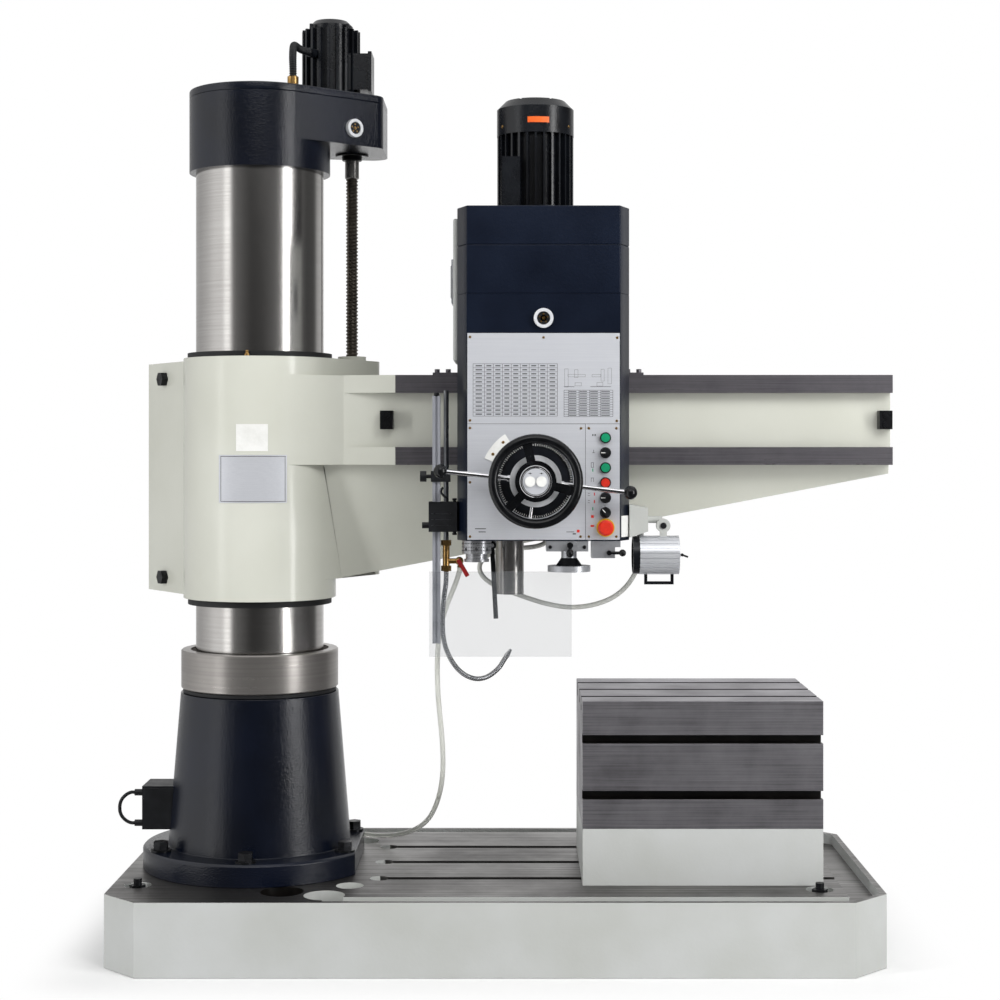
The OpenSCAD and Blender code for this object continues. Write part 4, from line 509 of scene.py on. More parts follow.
# Hose: a round wall swept along its route, whose radius swells at every rib.
tree, given = tree_of("hose_along_route", Radius="Float", Rib_Pitch="Float", Rib_Depth="Float",
                      Step="Float", Sides="Int")
even = add(tree, "GeometryNodeResampleCurve", {"Curve": given["Geometry"], "Length": given["Step"]},
           mode="LENGTH")
along = add(tree, "GeometryNodeSplineParameter").outputs["Length"]
turns = maths(tree, "DIVIDE", along, given["Rib Pitch"])
phase = maths(tree, "MULTIPLY", turns, 2 * pi)
swell = maths(tree, "COSINE", phase)
dip = add(tree, "ShaderNodeMapRange",
    {"Value": swell, "From Min": -1.0, "From Max": 1.0, "To Min": 0.0, "To Max": given["Rib Depth"]})
wall = maths(tree, "SUBTRACT", given["Radius"], dip)
ring = add(tree, "GeometryNodeCurvePrimitiveCircle", {"Resolution": given["Sides"], "Radius": 1.0})
swept = add(tree, "GeometryNodeCurveToMesh",
    {"Curve": even, "Profile Curve": ring, "Scale": wall, "Fill Caps": True})
hose_tree = ended(tree, given, add(tree, "GeometryNodeSetShadeSmooth", {"Geometry": swept}))


def hose(name, line, radius_mm, finish, slot, body=None, nodes=(), pitch_mm=1000.0, depth_mm=0.0,
         step_mm=6.0, sides=16):
    """A hose or cable along a line of points in metres."""
    mesh = grown(name, hose_tree, curve_of(name, line), Radius=radius_mm / 1000, Rib_Pitch=pitch_mm / 1000,
                 Rib_Depth=depth_mm / 1000, Step=step_mm / 1000, Sides=sides, Finish=finish)
    return shown(name, mesh, body, slot, *nodes)


# Cords, on the routes of the part's solids.
cable_route = [(-342, -22, 387), (-352, -22, 387), (-362, -23, 383), (-371, -24, 376), (-378, -25, 367),
               (-382, -26, 356), (-383, -26, 345), (-382, -26, 334), (-378, -25, 323), (-371, -24, 314),
               (-362, -23, 307), (-352, -22, 303), (-342, -22, 303)]
spout_route = [(528, -360, 1018), (528, -360, 1003), (527, -357, 984), (524, -351, 964), (521, -344, 942),
               (519, -339, 918), (518, -336, 894), (518, -335, 869), (520, -335, 845), (525, -335, 821),
               (534, -335, 798), (546, -335, 777), (562, -335, 758), (582, -334, 744), (605, -332, 737),
               (628, -331, 740), (648, -330, 751), (665, -330, 767), (674, -330, 781), (683, -330, 795)]
motor_route = [(105, -120, 2339), (105, -120, 2361), (104, -116, 2382), (103, -107, 2401), (102, -92, 2419),
               (101, -72, 2432), (101, -50, 2439), (103, -28, 2441), (107, -7, 2441), (113, 13, 2440),
               (122, 29, 2440), (131, 44, 2440)]
lamp_route = [(790, -186, 1099), (790, -186, 1090), (780, -188, 1079), (755, -192, 1072), (722, -195, 1069),
              (690, -198, 1066), (658, -201, 1060), (630, -204, 1048), (614, -206, 1030), (612, -208, 1010),
              (624, -209, 990), (646, -210, 974), (676, -210, 960), (708, -211, 948), (742, -212, 936),
              (778, -213, 925), (814, -214, 917), (850, -216, 913), (886, -219, 915), (920, -224, 922),
              (952, -230, 934), (980, -239, 952), (1003, -250, 976), (1020, -263, 1005), (1030, -276, 1036),
              (1033, -285, 1062), (1033, -288, 1080), (1033, -288, 1091)]
supply_route = [(562, -345, 1029), (562, -338, 1021), (558, -331, 1004), (549, -325, 978), (535, -319, 944),
                (522, -314, 908), (512, -310, 870), (506, -307, 830), (503, -303, 780), (503, -298, 730),
                (505, -290, 680), (509, -279, 630), (513, -264, 580), (515, -245, 530), (514, -220, 482),
                (509, -188, 438), (500, -148, 397), (487, -102, 358), (470, -50, 322), (448, 5, 292),
                (422, 62, 267), (394, 118, 247), (366, 172, 231), (338, 224, 218), (308, 272, 208),
                (276, 314, 202), (242, 347, 203), (206, 371, 211), (177, 385, 224), (156, 391, 234),
                (142, 392, 238), (131, 392, 238)]

# Each has its ribs' pitch in mm or their number, their depth, the steps to a rib and the sides.
cords = [("supply_cable_sheath", "supply_cable", "base", "rubber", nitrile, cable_route, 5.0,
          2.6, None, 0.5, 4, 12, "medium", "loose"),
         ("coolant_spout", "coolant_hose", "head", "chrome", stripwound, spout_route, 6.8,
          None, 84, 1.1, 8, 14, "stiff", "hanging"),
         ("motor_conduit_ribbed", "motor_conduit", "column", "black_plastic", black_abs, motor_route, 10.5,
          None, 38, 2.0, 8, 18, "stiff", "loose"),
         ("lamp_conduit_sheath", "lamp_conduit", "head", "grey_hose", pale_pvc, lamp_route, 6.5,
          4.0, None, 0.35, 4, 14, "medium", "hanging")]
for (name, node, body, slot, finish, route, radius_mm,
     pitch_mm, ribs, depth_mm, steps, sides, stiffness, lay) in cords:
    line = smooth_route(route)
    pitch_mm = pitch_mm or 1000 * length_of(line) / ribs
    part = hose(name, line, radius_mm, finish, slot, body, [node], pitch_mm, depth_mm,
                pitch_mm / steps, sides)

# The supply hose crosses three joints, so it is drawn in three stretches, each named for the two bodies that
# it runs between.
supply_line = smooth_route(supply_route)
for low, high, first, last in (("arm", "head", 0, 64), ("column", "arm", 64, 128),
                               ("base", "column", 128, len(supply_line) - 1)):
    stretch = supply_line[first:last + 1]
    part = hose(f"supply_hose_{low}_{high}", stretch, 6.5, clear_pvc, "clear_hose")
    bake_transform(part)
    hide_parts("supply_hose")


def lathe(at, toward, outline, sides=40):
    """A turned shape about an axis through a point in mm; its outline is pairs of radius and height."""
    axis = Vector(toward).normalized()
    across = axis.orthogonal().normalized()
    beside = axis.cross(across)
    points, rings = [], []
    for radius, height in outline:
        count = sides if radius else 1
        rings.append(range(len(points), len(points) + count))
        for k in range(count):
            turn = 2 * pi * k / sides
            out = (across * cos(turn) + beside * sin(turn)) * radius
            points.append(mm(*at) + (axis * height + out) / 1000)
    faces = []
    for a, b in zip(rings, rings[1:]):
        for k in range(sides):
            corners = [a[k % len(a)], a[(k + 1) % len(a)], b[(k + 1) % len(b)], b[k % len(b)]]
            faces.append(list(dict.fromkeys(corners)))
    return points, faces


def block(low, high, edge):
    """A box between two corners in mm, with its edges rounded."""
    shape = bmesh.new()
    bmesh.ops.create_cube(shape, size=1.0)
    for vert in shape.verts:
        vert.co = mm(*[a + (b - a) * (c + 0.5) for a, b, c in zip(low, high, vert.co)])
    bmesh.ops.bevel(shape, geom=shape.edges[:], offset=edge / 1000, segments=2, affect="EDGES", profile=0.5)
    shape.verts.index_update()
    points = [vert.co.copy() for vert in shape.verts]
    faces = [[vert.index for vert in face.verts] for face in shape.faces]
    shape.free()
    return points, faces


def prism(outline, along, first, last):
    """A flat outline in mm drawn out between two heights: x and z along Y, or x and y along Z."""
    place = {"Y": lambda a, b, h: mm(a, h, b), "Z": lambda a, b, h: mm(a, b, h)}[along]
    count = len(outline)
    points = [place(a, b, h) for h in (first, last) for a, b in outline]
    sides = [[k, (k + 1) % count, count + (k + 1) % count, count + k] for k in range(count)]
    return points, [list(range(count)), list(range(count, 2 * count))] + sides


def polar(radius, degrees):
    """A radius times the sine and the cosine of an angle."""
    return radius * sin(radians(degrees)), radius * cos(radians(degrees))


def arc_strip(middle, inner, outer, first, last, steps=14):
    """Outline of a strip bent round a point, in mm and degrees."""
    turns = [radians(first + (last - first) * k / steps) for k in range(steps + 1)]
    ring = lambda r, angles: [(middle[0] + r * cos(a), middle[1] + r * sin(a)) for a in angles]
    return ring(outer, turns) + ring(inner, turns[::-1])


def built(name, body, slot, *parts, nodes=()):
    """Joins shapes, each with its material, into one piece of closed shells."""
    shape, finishes = bmesh.new(), []
    for finish, (points, faces) in parts:
        if finish not in finishes:
            finishes.append(finish)
        verts = [shape.verts.new(point) for point in points]
        for face in faces:
            made = shape.faces.new([verts[k] for k in face])
            made.material_index, made.smooth = finishes.index(finish), True
    bmesh.ops.remove_doubles(shape, verts=shape.verts, dist=1e-7)
    bmesh.ops.recalc_face_normals(shape, faces=shape.faces)
    mesh = dressed(bpy.data.meshes.new(name), finishes)
    shape.to_mesh(mesh)
    shape.free()
    mesh.set_sharp_from_angle(angle=radians(35))
    shown(name, mesh, body, slot, *nodes)


def points_of(name, spots):
    """A mesh of loose points in mm that carry vectors by name."""
    mesh = bpy.data.meshes.new(name)
    mesh.from_pydata([mm(*at) for at, _ in spots], [], [])
    for key in spots[0][1]:
        layer = mesh.attributes.new(key, "FLOAT_VECTOR", "POINT")
        for k, (_, vectors) in enumerate(spots):
            layer.data[k].vector = vectors[key]
    return mesh


# Marks: thin bars, one on each point, with the point's own size and turn.
tree, given = tree_of("marks_on_points")
size, turn = [add(tree, "GeometryNodeInputNamedAttribute", {"Name": key}, data_type="FLOAT_VECTOR")
              for key in ("size", "turn")]
bar = add(tree, "GeometryNodeMeshCube", {"Size": (1.0, 1.0, 1.0)})
laid = add(tree, "GeometryNodeInstanceOnPoints",
    {"Points": given["Geometry"], "Instance": bar, "Rotation": turn.outputs["Attribute"],
     "Scale": size.outputs["Attribute"]})
marks_tree = ended(tree, given, laid)

# Screws: domed heads, one on each point, each facing its own way.
tree, given = tree_of("screws_on_points", Head_Radius="Float", Head_Height="Float")
facing = add(tree, "GeometryNodeInputNamedAttribute", {"Name": "facing"}, data_type="FLOAT_VECTOR")
aimed = add(tree, "FunctionNodeAlignRotationToVector", {"Vector": facing.outputs["Attribute"]}, axis="Z")
crown = maths(tree, "MULTIPLY", given["Head Radius"], 0.7)
knob = add(tree, "GeometryNodeMeshCone",
    {"Vertices": 14, "Radius Top": crown, "Depth": given["Head Height"],
     "Radius Bottom": given["Head Radius"]})
laid = add(tree, "GeometryNodeInstanceOnPoints",
    {"Points": given["Geometry"], "Instance": knob, "Rotation": aimed})
screws_tree = ended(tree, given, laid)

# Thread: a cylinder whose wall steps between root and crest along a helix.
tree, given = tree_of("thread_on_rod", Root="Float", Crest="Float", Pitch="Float", Length="Float",
                      Rows="Int", Foot="Vector")
rod = add(tree, "GeometryNodeMeshCylinder",
    {"Vertices": 24, "Side Segments": given["Rows"], "Radius": given["Crest"], "Depth": given["Length"]})
spot = add(tree, "GeometryNodeInputPosition")
split = add(tree, "ShaderNodeSeparateXYZ", {0: spot}).outputs
angle = maths(tree, "ARCTAN2", split["Y"], split["X"])
lag = maths(tree, "DIVIDE", angle, 2 * pi)
rise = maths(tree, "DIVIDE", split["Z"], given["Pitch"])
phase = maths(tree, "SUBTRACT", rise, lag)
share = maths(tree, "FRACT", phase)
away = maths(tree, "SUBTRACT", share, 0.5)
tooth = maths(tree, "ABSOLUTE", away)
wall = add(tree, "ShaderNodeMapRange",
    {"Value": tooth, "From Min": 0.15, "From Max": 0.35, "To Min": given["Root"], "To Max": given["Crest"]})
level = vectors(tree, "MULTIPLY", spot, (1.0, 1.0, 0.0))
out = vectors(tree, "NORMALIZE", level)
pushed = vectors(tree, "SCALE", out, Scale=wall)
upright = vectors(tree, "MULTIPLY", spot, (0.0, 0.0, 1.0))
moved = vectors(tree, "ADD", pushed, upright)
formed = add(tree, "GeometryNodeSetPosition", {"Geometry": rod, "Position": moved, "Offset": given["Foot"]})
thread_tree = ended(tree, given, formed)


def printed(name, body, spots, slot="black_plastic", finish=screen_ink):
    """Marks on a body: each spot is a centre and a size in mm, and if it is turned, degrees about Y and Z."""
    rows = []
    for at, size, *turns in spots:
        about_y, about_z = turns or (0, 0)
        rows.append((at, {"size": mm(*size), "turn": (0.0, radians(about_y), radians(about_z))}))
    shown(name, grown(name, marks_tree, points_of(name, rows), Finish=finish), body, slot)


def screwed(name, radius_mm, height_mm, spots, slot="brass", finish=brass_cast):
    """Screw heads on the head: each spot is a place in mm and the way that the screw faces."""
    seed = points_of(name, [(at, {"facing": way}) for at, way in spots])
    mesh = grown(name, screws_tree, seed, Head_Radius=radius_mm / 1000, Head_Height=height_mm / 1000,
                 Finish=finish)
    shown(name, mesh, "head", slot)


# Coats of the CAD nodes: castings with rounded edges first, then the nodes that keep their own shape.
# Heights and places in the tests are in metres, as the faces are.
base_top, table_foot, rail_start = 0.1895, 0.339, 0.384
plain = lambda material: (material, None)
up = lambda height: (lambda c, n: n.z > 0.9 and c.z > height)
near = lambda x, y, reach: (lambda c, n: hypot(c.x - x / 1000, c.y - y / 1000) < reach / 1000)
in_sump = lambda c, n: near(104, -353, 58)(c, n) and c.z < base_top
in_base_slot = lambda c, n: (0.345 < c.x < 1.45 and 0.13 < c.z < 0.19
                             and min(abs(c.y + 0.2), abs(c.y), abs(c.y - 0.2)) < 0.026)
table_low, table_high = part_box("box_table")
in_table_slot = lambda c, n: c.z > 0.345 and all(
    a + 0.004 < v < b - 0.004 for a, v, b in zip(table_low, c, table_high))
on_rail_front = lambda c, n: c.x > rail_start and c.y < -0.1155 and abs(n.x) < 0.5
on_rail_top = lambda c, n: c.x > rail_start and n.z > 0.9 and c.z > 1.531
# The sump's walls in the base and the slots of the box table take the nearly black painted shade.
softened("base_casting", 3.0, "base_paint", (planed_iron, up(base_top)), (recess_shade_black, in_sump),
         (planed_iron, in_base_slot), plain(white_enamel))
softened("pedestal", 4.0, "navy_paint", plain(navy_enamel))
# The table's top takes a paler copy of its iron as painted light.
softened("box_table", 1.2, "machined_iron", (recess_shade_black, in_table_slot), (table_top_painted_light, up(0.672)),
         (milled_iron, lambda c, n: c.z > table_foot), plain(white_enamel), crisp=1.0,
         split=[((0, 0, 339), (0, 0, 1))])
softened("lift_housing", 7.0, "navy_paint", plain(navy_enamel))
softened("lift_lid", 4.0, "navy_paint", plain(navy_enamel))
softened("arm_casting", 6.0, "cream_paint", (ground_iron, on_rail_front), (ground_iron, on_rail_top),
         plain(cream_enamel), split=[((383.5, 0, 0), (1, 0, 0))])
softened("head_casting", 3.0, "navy_paint", plain(navy_cover_enamel))
softened("head_covers", 2.5, "navy_paint", plain(navy_cover_enamel))
softened("supply_box", 3.0, "black_plastic", plain(black_abs))
softened("underside_boxes", 2.0, "aluminium", plain(silver_lacquer))
for node, material in dict(
        outer_column=turned_steel, column_ring=ring_steel, inner_column=turned_steel,
        column_bearings=spindle_steel, base_bolts=black_oxide, coolant_pump=black_stove_enamel,
        lift_nut=cream_enamel, sleeve_wipers=nitrile,
        arm_hardware=black_oxide, face_plates=satin_aluminium, spindle_motor=black_stove_enamel,
        motor_cowl=black_stove_enamel, head_gib=ground_iron, green_button_upper=green_nylon,
        green_button_lower=green_nylon, red_button=red_nylon, estop_button=red_nylon,
        hub_stem=satin_aluminium, clamp_button=white_nylon, release_button=white_nylon,
        traverse_wheel=phenolic, speed_dial=grey_anodised,
        shift_lever=phenolic, spindle_lever=black_oxide, quill=spindle_steel, spindle=spindle_steel,
        guard_post=clear_anodised, valve_handle=red_vinyl, lamp_switch=black_abs,
        lift_sight_glass=dial_aluminium, head_sight_glass=dial_aluminium).items():
    coat(node, plain(material))
on_dial_lock = lambda c, n: hypot(c.x - 0.746, c.z - 1.175) < 0.024 and c.y < -0.4575
on_knuckle_screw = lambda c, n: hypot(c.x - 1.088, c.z - 1.135) < 0.0085 and c.y < -0.36
in_lamp_mouth = lambda c, n: n.x < -0.9 and 1.010 < c.x < 1.03 and hypot(c.y + 0.35, c.z - 1.059) < 0.046
coat("guard_shield", (acrylic_edge, lambda c, n: abs(n.y) < 0.5), plain(acrylic))
coat("guard_bracket", (zinc_plate, near(528, -360, 8)), plain(black_abs))
coat("lift_motor", (brass_cast, near(105, -120, 30)), plain(black_stove_enamel))
coat("lamp_bracket", (black_abs, on_knuckle_screw), plain(white_enamel))
coat("switch_bezels", (yellow_nylon, lambda c, n: c.z < 1.157), plain(black_abs))
coat("feed_levers", (phenolic, lambda c, n: abs(c.x - 0.757) > 0.222), plain(chrome_plate))
coat("feed_hub", (chrome_plate, on_dial_lock), (dial_aluminium, lambda c, n: c.y < -0.5095),
     plain(black_anodised))
coat("fine_feed_wheel", (phenolic, lambda c, n: 1.034 < c.z < 1.0535 and 0.1 < n.z < 0.95),
     plain(silver_lacquer))
coat("coolant_valve", (chrome_plate, lambda c, n: c.x > 0.63), plain(brass_cast))
coat("lamp_body", (white_nylon, in_lamp_mouth),
     (black_stove_enamel, lambda c, n: c.x < 1.0215 or c.z < 1.0085),
     (white_enamel, lambda c, n: c.z > 1.1105), plain(drawn_aluminium))

# Lift screw: thread, collar, gear and sleeve turn with the screw; the black flange under the lobe
# stays with the column.
above, ahead = (0, 0, 1), (0, -1, 0)
screw_at, thread_foot, thread_l = (241, 154, 0), 1341, 826
thread = grown("lift_screw_thread", thread_tree, points_of("lift_screw_foot", [((0, 0, 0), {})]), Root=0.0142,
               Crest=0.0170, Pitch=0.010, Length=thread_l / 1000, Rows=660,
               Foot=mm(241, 154, thread_foot + thread_l / 2), Finish=greased_steel)
shown("lift_screw_thread", thread, "lift_screw", "dark_steel", "lift_screw")
sleeve_outline = [(17.3, 2101), (20, 2103), (20, 2152), (17.3, 2152), (17.3, 2101)]
collar_outline = [(0, 2152.4), (26.5, 2152.4), (28, 2154), (28, 2167), (26.5, 2168.6), (0, 2168.6)]
gear_outline = [(0, 2168.8), (16, 2168.8), (16, 2188), (38, 2188), (40, 2190), (40, 2219), (38, 2221),
                (16, 2221), (16, 2274), (0, 2274)]
flange_outline = [(29.5, 2163), (45, 2163), (47, 2165), (47, 2168.9), (29.5, 2168.9), (29.5, 2163)]
built("lift_screw_collars", "lift_screw", "dark_steel",
      (spindle_steel, lathe(screw_at, above, sleeve_outline)),
      (black_oxide, lathe(screw_at, above, collar_outline)),
      (spindle_steel, lathe(screw_at, above, gear_outline)), nodes=["lift_screw"])
built("screw_flange", "column", "black_paint", (black_stove_enamel, lathe(screw_at, above, flange_outline)))

# Seal between the pedestal and the column's ring, and a nipple for grease on the sleeve.
seal_outline = [(196, 666.4), (208, 666.4), (210, 668), (210, 676), (208, 677.6), (196, 677.6), (196, 666.4)]
oiler_outline = [(0, -2), (7, -2), (7, 5), (5, 6), (4, 10), (5.5, 12), (3, 15), (0, 15)]
built("column_seal", "base", "rubber", (nitrile, lathe((0, 0, 0), above, seal_outline, 96)))
built("sleeve_oiler", "arm", "brass", (brass_cast, lathe((-8, -199, 1581), above, oiler_outline, 20)))

# Blank plates bent round the sleeve's front, and the printed border of the lower one.
sleeve_skin, border_r = 208.9, 210.0
white_strip = arc_strip((0, 0), sleeve_skin, 210.1, 260, 283.3)
silver_strip = arc_strip((0, 0), sleeve_skin, 209.9, 246.3, 297.4)
built("sleeve_plate_white", "arm", "white_plastic", (white_nylon, prism(white_strip, "Z", 1327, 1399)))
built("sleeve_plate_silver", "arm", "aluminium", (satin_aluminium, prism(silver_strip, "Z", 1189, 1317)))
border = [(-21 + 1.86 * k, z, (7.2, 0.3, 1.2)) for k in range(26) for z in (1193, 1313)]
border += [(a, 1253, (1.2, 0.3, 120)) for a in (-22, 26)]
printed("sleeve_plate_border", "arm",
        [((polar(border_r, a)[0], -polar(border_r, a)[1], z), size, 0, a) for a, z, size in border])

# Front plates: brass screws, the chart's rules and dashes, and small marks beside the switches.
plate_y, ink_y, ink_t = -433, -433.1, 0.2
on_plate = lambda x, z, wide, tall: ((x, ink_y, z), (wide, ink_t, tall))
plate_corners = [(591, 1617), (778, 1616), (965, 1615), (591, 1405), (964, 1404), (591, 1386), (873, 1385),
                 (591, 1248), (591, 1110), (872, 1110), (893, 1385), (963, 1385), (893, 1110), (963, 1110)]
screwed("plate_screws", 3.4, 1.8, [((x, plate_y, z), ahead) for x, z in plate_corners])
chart_columns = [599, 628, 650.5, 673.5, 696, 719, 741.5, 764.5, 787.5, 813]
chart_rows = [1549 - 10.23 * k for k in range(14)]
list_columns = [830, 841, 868, 895, 923, 954]
list_rows = [1482 - 6.1 * k for k in range(12)]
rule_t, line_t = 0.8, 0.5
rules = []
for columns, rows in ((chart_columns, chart_rows), (list_columns, list_rows)):
    wide, tall = columns[-1] - columns[0], rows[0] - rows[-1]
    rules += [on_plate(columns[0] + wide / 2, z, wide, rule_t) for z in rows]
    rules += [on_plate(x, rows[0] - tall / 2, rule_t, tall) for x in columns]
dashes = [on_plate((a + b) / 2, z - 5.1, (b - a) * 0.56, 2.6)
          for a, b in zip(chart_columns, chart_columns[1:]) for z in chart_rows[:-1]]
dashes += [on_plate((a + b) / 2 - (b - a) * 0.1, z - 3.0, (b - a) * 0.7, 1.7)
           for a, b in zip(list_columns[1:], list_columns[2:]) for z in list_rows[:-1]]
sketch = [(836, 1513, 9, 46), (862, 1519, 44, 6), (861, 1524, 9, 20), (866, 1497, 16, 8), (843, 1491, 26, 1),
          (912, 1519, 22, 6), (928, 1520, 8, 30), (946, 1518, 9, 40), (921, 1497, 15, 9), (923, 1491, 52, 1)]
for x, z, wide, tall in sketch:
    dashes += [on_plate(x, z + side * tall / 2, wide, line_t) for side in (-1, 1)]
    dashes += [on_plate(x + side * wide / 2, z, line_t, tall) for side in (-1, 1)]
black_marks = [(903, 1368, 3, 4), (909, 1368, 3, 4), (905, 1323, 7, 1), (905, 1327, 1, 7), (899, 1292, 1, 12),
               (905, 1292, 1, 12), (902, 1298, 7, 1), (902, 1286, 7, 1), (899, 1254, 1, 10),
               (905, 1254, 1, 10), (902, 1259, 7, 1), (893, 1220, 5, 1), (893, 1214, 5, 1),
               (893, 1202, 5, 1), (893, 1196, 5, 1),
               (618, 1130, 28, 2), (622, 1122, 18, 2), (846, 1122, 20, 1.5), (856, 1117, 8, 3)]
green_marks = [(903, 1279, 2.6, 8), (903, 1181, 2.6, 8)]
red_marks = [(907, 1218, 2.6, 8), (907, 1199, 2.6, 8), (902, 1161, 7, 7), (902, 1137, 9, 5),
             (866, 1124, 7, 7)]
printed("chart_rules", "head", rules)
printed("chart_dashes", "head", dashes)
printed("switch_marks", "head", [on_plate(*mark) for mark in black_marks])
printed("switch_marks_green", "head", [on_plate(*mark) for mark in green_marks], "green_plastic", green_nylon)
printed("switch_marks_red", "head", [on_plate(*mark) for mark in red_marks], "red_plastic", red_nylon)

# Vernier tag beside the dial, and the marks on the dial's rim and on the speed dial.
hub_x, hub_z, tag_y = 757, 1252, -435.4
tag = arc_strip((hub_x, hub_z), 98, 141, 123, 156)
on_dial = lambda radius, y, degrees: (hub_x + polar(radius, degrees)[0], y, hub_z + polar(radius, degrees)[1])
built("vernier_tag", "head", "white_plastic", (white_nylon, prism(tag, "Y", plate_y, tag_y)))
screwed("vernier_screws", 4.0, 2.0, [(on_dial(127, tag_y, degrees), ahead) for degrees in (-40, -58)])
printed("vernier_marks", "head",
        [(on_dial(105, -435.5, a), (0.7, ink_t, 6 if k % 5 else 9), a, 0)
         for k, a in enumerate([-62 + 2.4 * k for k in range(11)])])
printed("dial_marks", "feed_hub",
        [(on_dial(91, -457.1, 3.6 * k), (0.9, ink_t, 4.5 if k % 5 else 7), 3.6 * k, 0) for k in range(100)],
        "white_plastic", white_nylon)
speed_x, speed_y, speed_r = 607, -380, 38.05
printed("speed_dial_marks", "speed_dial",
        [((speed_x + polar(speed_r, a)[0], speed_y - polar(speed_r, a)[1], z), (wide, 0.3, 2.2), 0, a)
         for a in range(0, 360, 10) for z, wide in ((1091, 4.5), (1082, 3.0), (1073, 4.0))])

# Rim and ring line of the hub's plate, a mark over each of its buttons, and a blank plate on the
# head's right bevel.
hub_face = (hub_x, -567.4, hub_z)
rim_outline = [(34, -0.4), (34, 0.8), (35, 1.6), (38.5, 1.6), (39.9, 0.4), (39.9, -0.4), (34, -0.4)]
ring_outline = [(32.4, -0.2), (32.4, 0.3), (33.8, 0.3), (33.8, -0.2), (32.4, -0.2)]
bevel_outline = [(975.6, -424.0), (996.4, -376.0), (997.2, -376.3), (976.4, -424.3)]
built("hub_plate_rim", "head", "aluminium", (chrome_plate, lathe(hub_face, ahead, rim_outline, 64)),
      (screen_ink, lathe(hub_face, ahead, ring_outline, 64)))
printed("hub_plate_marks", "head",
        [((hub_x + side * 14, -567.5, hub_z + 20), size)
         for side in (-1, 1) for size in ((10, ink_t, 0.9), (3, ink_t, 3.4))])
built("bevel_plate", "head", "white_plastic", (white_nylon, prism(bevel_outline, "Z", 1108, 1162)))

# Selectors: a round skirt and a raised grip with a white line, each in its row of the switches.
switch_x, switch_foot, switch_pitch = 935, 1133, 38
skirt_outline = [(0, 0), (10.6, 0), (10.6, 3), (12.4, 3.4), (12, 6), (11, 7), (0, 7)]
grip_outline = [(-4.4, -11.5), (4.4, -11.5), (5.4, 0), (3.2, 10), (0, 14), (-3.2, 10), (-5.4, 0)]
line_outline = [(-0.9, 1), (0.9, 1), (0.9, 12), (-0.9, 12)]
for node, row, lean in (("selector_top", 5, 90), ("selector_middle", 2, 90), ("selector_lower", 1, 45)):
    switch_z = switch_foot + switch_pitch * row
    s, c = polar(1, lean)
    grip, line = [[(switch_x + a * c - b * s, switch_z + a * s + b * c) for a, b in outline]
                  for outline in (grip_outline, line_outline)]
    built(node + "_knob", node, "black_plastic",
          (black_abs, lathe((switch_x, -440, switch_z), ahead, skirt_outline, 32)),
          (black_abs, prism(grip, "Y", -446.9, -456.0)),
          (white_nylon, prism(line, "Y", -455.9, -456.3)), nodes=[node])

# Fittings: pale panel with its port on the head's left side, cowl screws and film, the stars behind
# both sight glasses, knob and screws of the fine feed box.
cowl_x, cowl_y, cowl_r = 759, -250, 101
built("side_panel", "head", "base_paint", (white_enamel, block((545, -335, 1560), (557.5, -135, 1930), 5)))
built("side_port", "head", "aluminium", (silver_lacquer, block((539, -300, 1712), (546, -210, 1828), 2.5)),
      (black_abs, block((537, -286, 1728), (540, -224, 1812), 1.2)))
cowl_ways = [polar(1, a) for a in (31, 149, 211, 329)]
screwed("cowl_screws", 4.0, 2.0,
        [((cowl_x + cowl_r * c, cowl_y + cowl_r * s, 2173), (c, s, 0)) for s, c in cowl_ways])
film = arc_strip((cowl_x, cowl_y), 100.8, 101.5, 258, 290)
built("cowl_film", "head", "red_plastic", (orange_film, prism(film, "Z", 2177, 2192)))
star_back, star_boss = [(0, 0), (16.6, 0), (16.6, 0.5), (0, 0.5)], [(0, 0), (5, 0), (4.4, 1), (0, 1)]
star_bead = [(0, 0), (2.6, 0), (2.2, 0.7), (0, 0.7)]
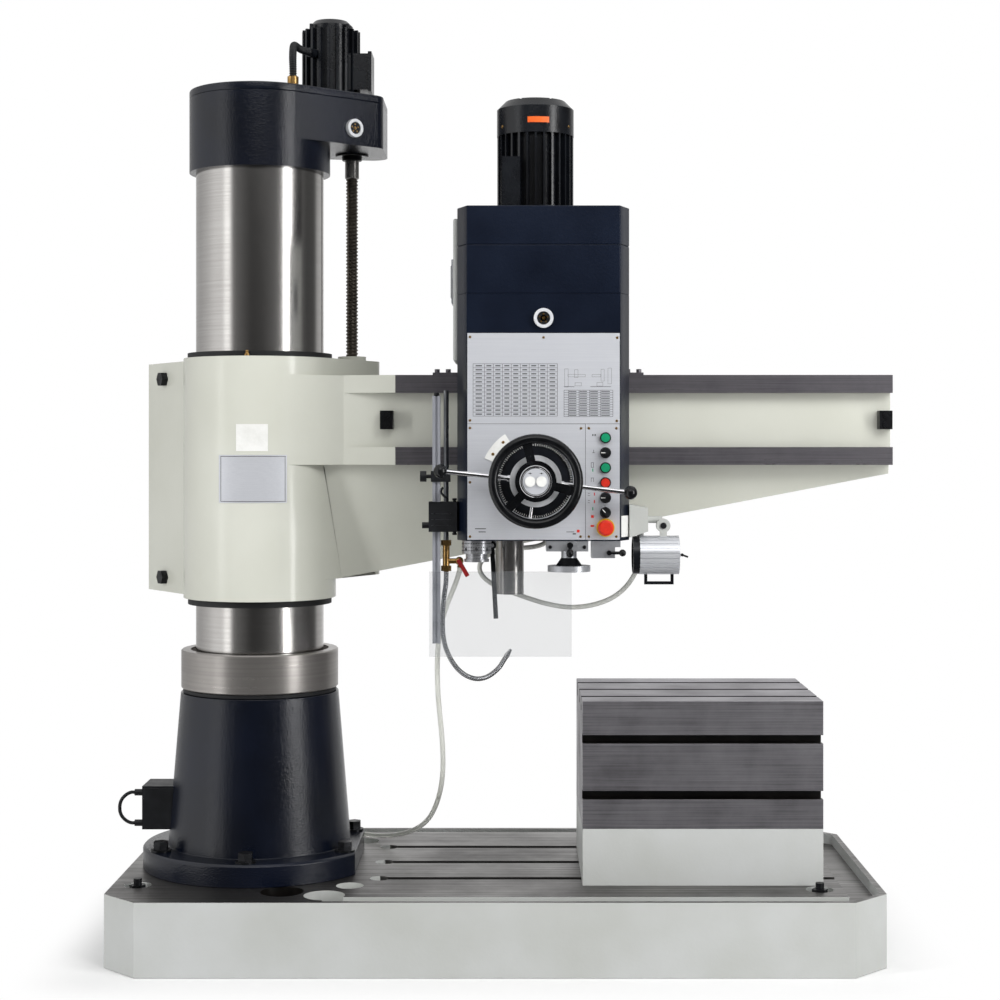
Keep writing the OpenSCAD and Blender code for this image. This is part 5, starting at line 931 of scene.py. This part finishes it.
for name, body, at, way in (("head_sight_star", "head", (778, -430, 1665), ahead),
                            ("lift_sight_star", "column", (260.9, -34.8, 2214), (0.637, -0.771, 0.0))):
    facing = Vector(way)
    level = facing.cross(Vector(above))
    on_glass = lambda out, along, lift: Vector(at) + facing * out + level * along + Vector((0, 0, lift))
    points = [on_glass(8.7, *polar(10.5, 72 * k)) for k in range(5)]
    built(name, body, "brass", (black_abs, lathe(on_glass(8.1, 0, 0), way, star_back, 32)),
          (brass_cast, lathe(on_glass(8.6, 0, 0), way, star_boss, 6)),
          *[(brass_cast, lathe(point, way, star_bead, 12)) for point in points])
stub_outline = [(0, 0), (6, 0), (6, 8), (8, 10), (8, 18), (6, 20), (0, 20)]
knob_outline = [(0, 0), (4, 0), (5, 8), (9, 13), (10, 19), (8, 25), (4, 28), (0, 29)]
built("fine_feed_knob", "head", "black_plastic",
      (phenolic, lathe((845, -426, 1088), ahead, stub_outline, 24)),
      (phenolic, lathe((845, -438, 1086), (0.0, -0.1, -1.0), knob_outline, 24)))
screwed("fine_feed_screws", 5.0, 3.5, [((x, -428, 1083), ahead) for x in (795, 882)],
        "black_paint", black_oxide)

# Guard fittings: cap and pin on the post's top, and the grooves, screws and bent catch of the black
# clamp block.
cap_outline = [(0, 0), (6, 0), (6.6, 2), (6.6, 8), (5, 10), (0, 10)]
screw_outline = [(0, -1), (4.4, -1), (4.4, 3), (6, 3.6), (6, 8), (5, 9), (0, 9)]
catch_route = [(531, -378, 1192), (531, -378, 1200), (528, -379, 1208), (521, -380, 1214), (516, -380, 1221),
               (517, -380, 1229), (521, -380, 1234)]
built("post_cap", "guard", "black_plastic", (black_abs, lathe((503, -360, 1468), above, cap_outline, 24)),
      (black_oxide, block((505, -362, 1470.5), (511.5, -359, 1473), 0.6)))
printed("block_grooves", "head", [((516, -389.0, z), (50, 0.2, 0.7)) for z in (1167, 1151.6, 1136.8)],
        "dark_steel", zinc_plate)
built("block_screws", "head", "black_paint",
      (black_oxide, lathe((550, -372, 1197), above, screw_outline, 20)),
      (black_oxide, lathe((550, -372, 1120.5), (0, 0, -1), screw_outline, 20)))
hose("block_catch", smooth_route(catch_route), 3.0, black_abs, "black_plastic", "head", step_mm=2.0, sides=10)
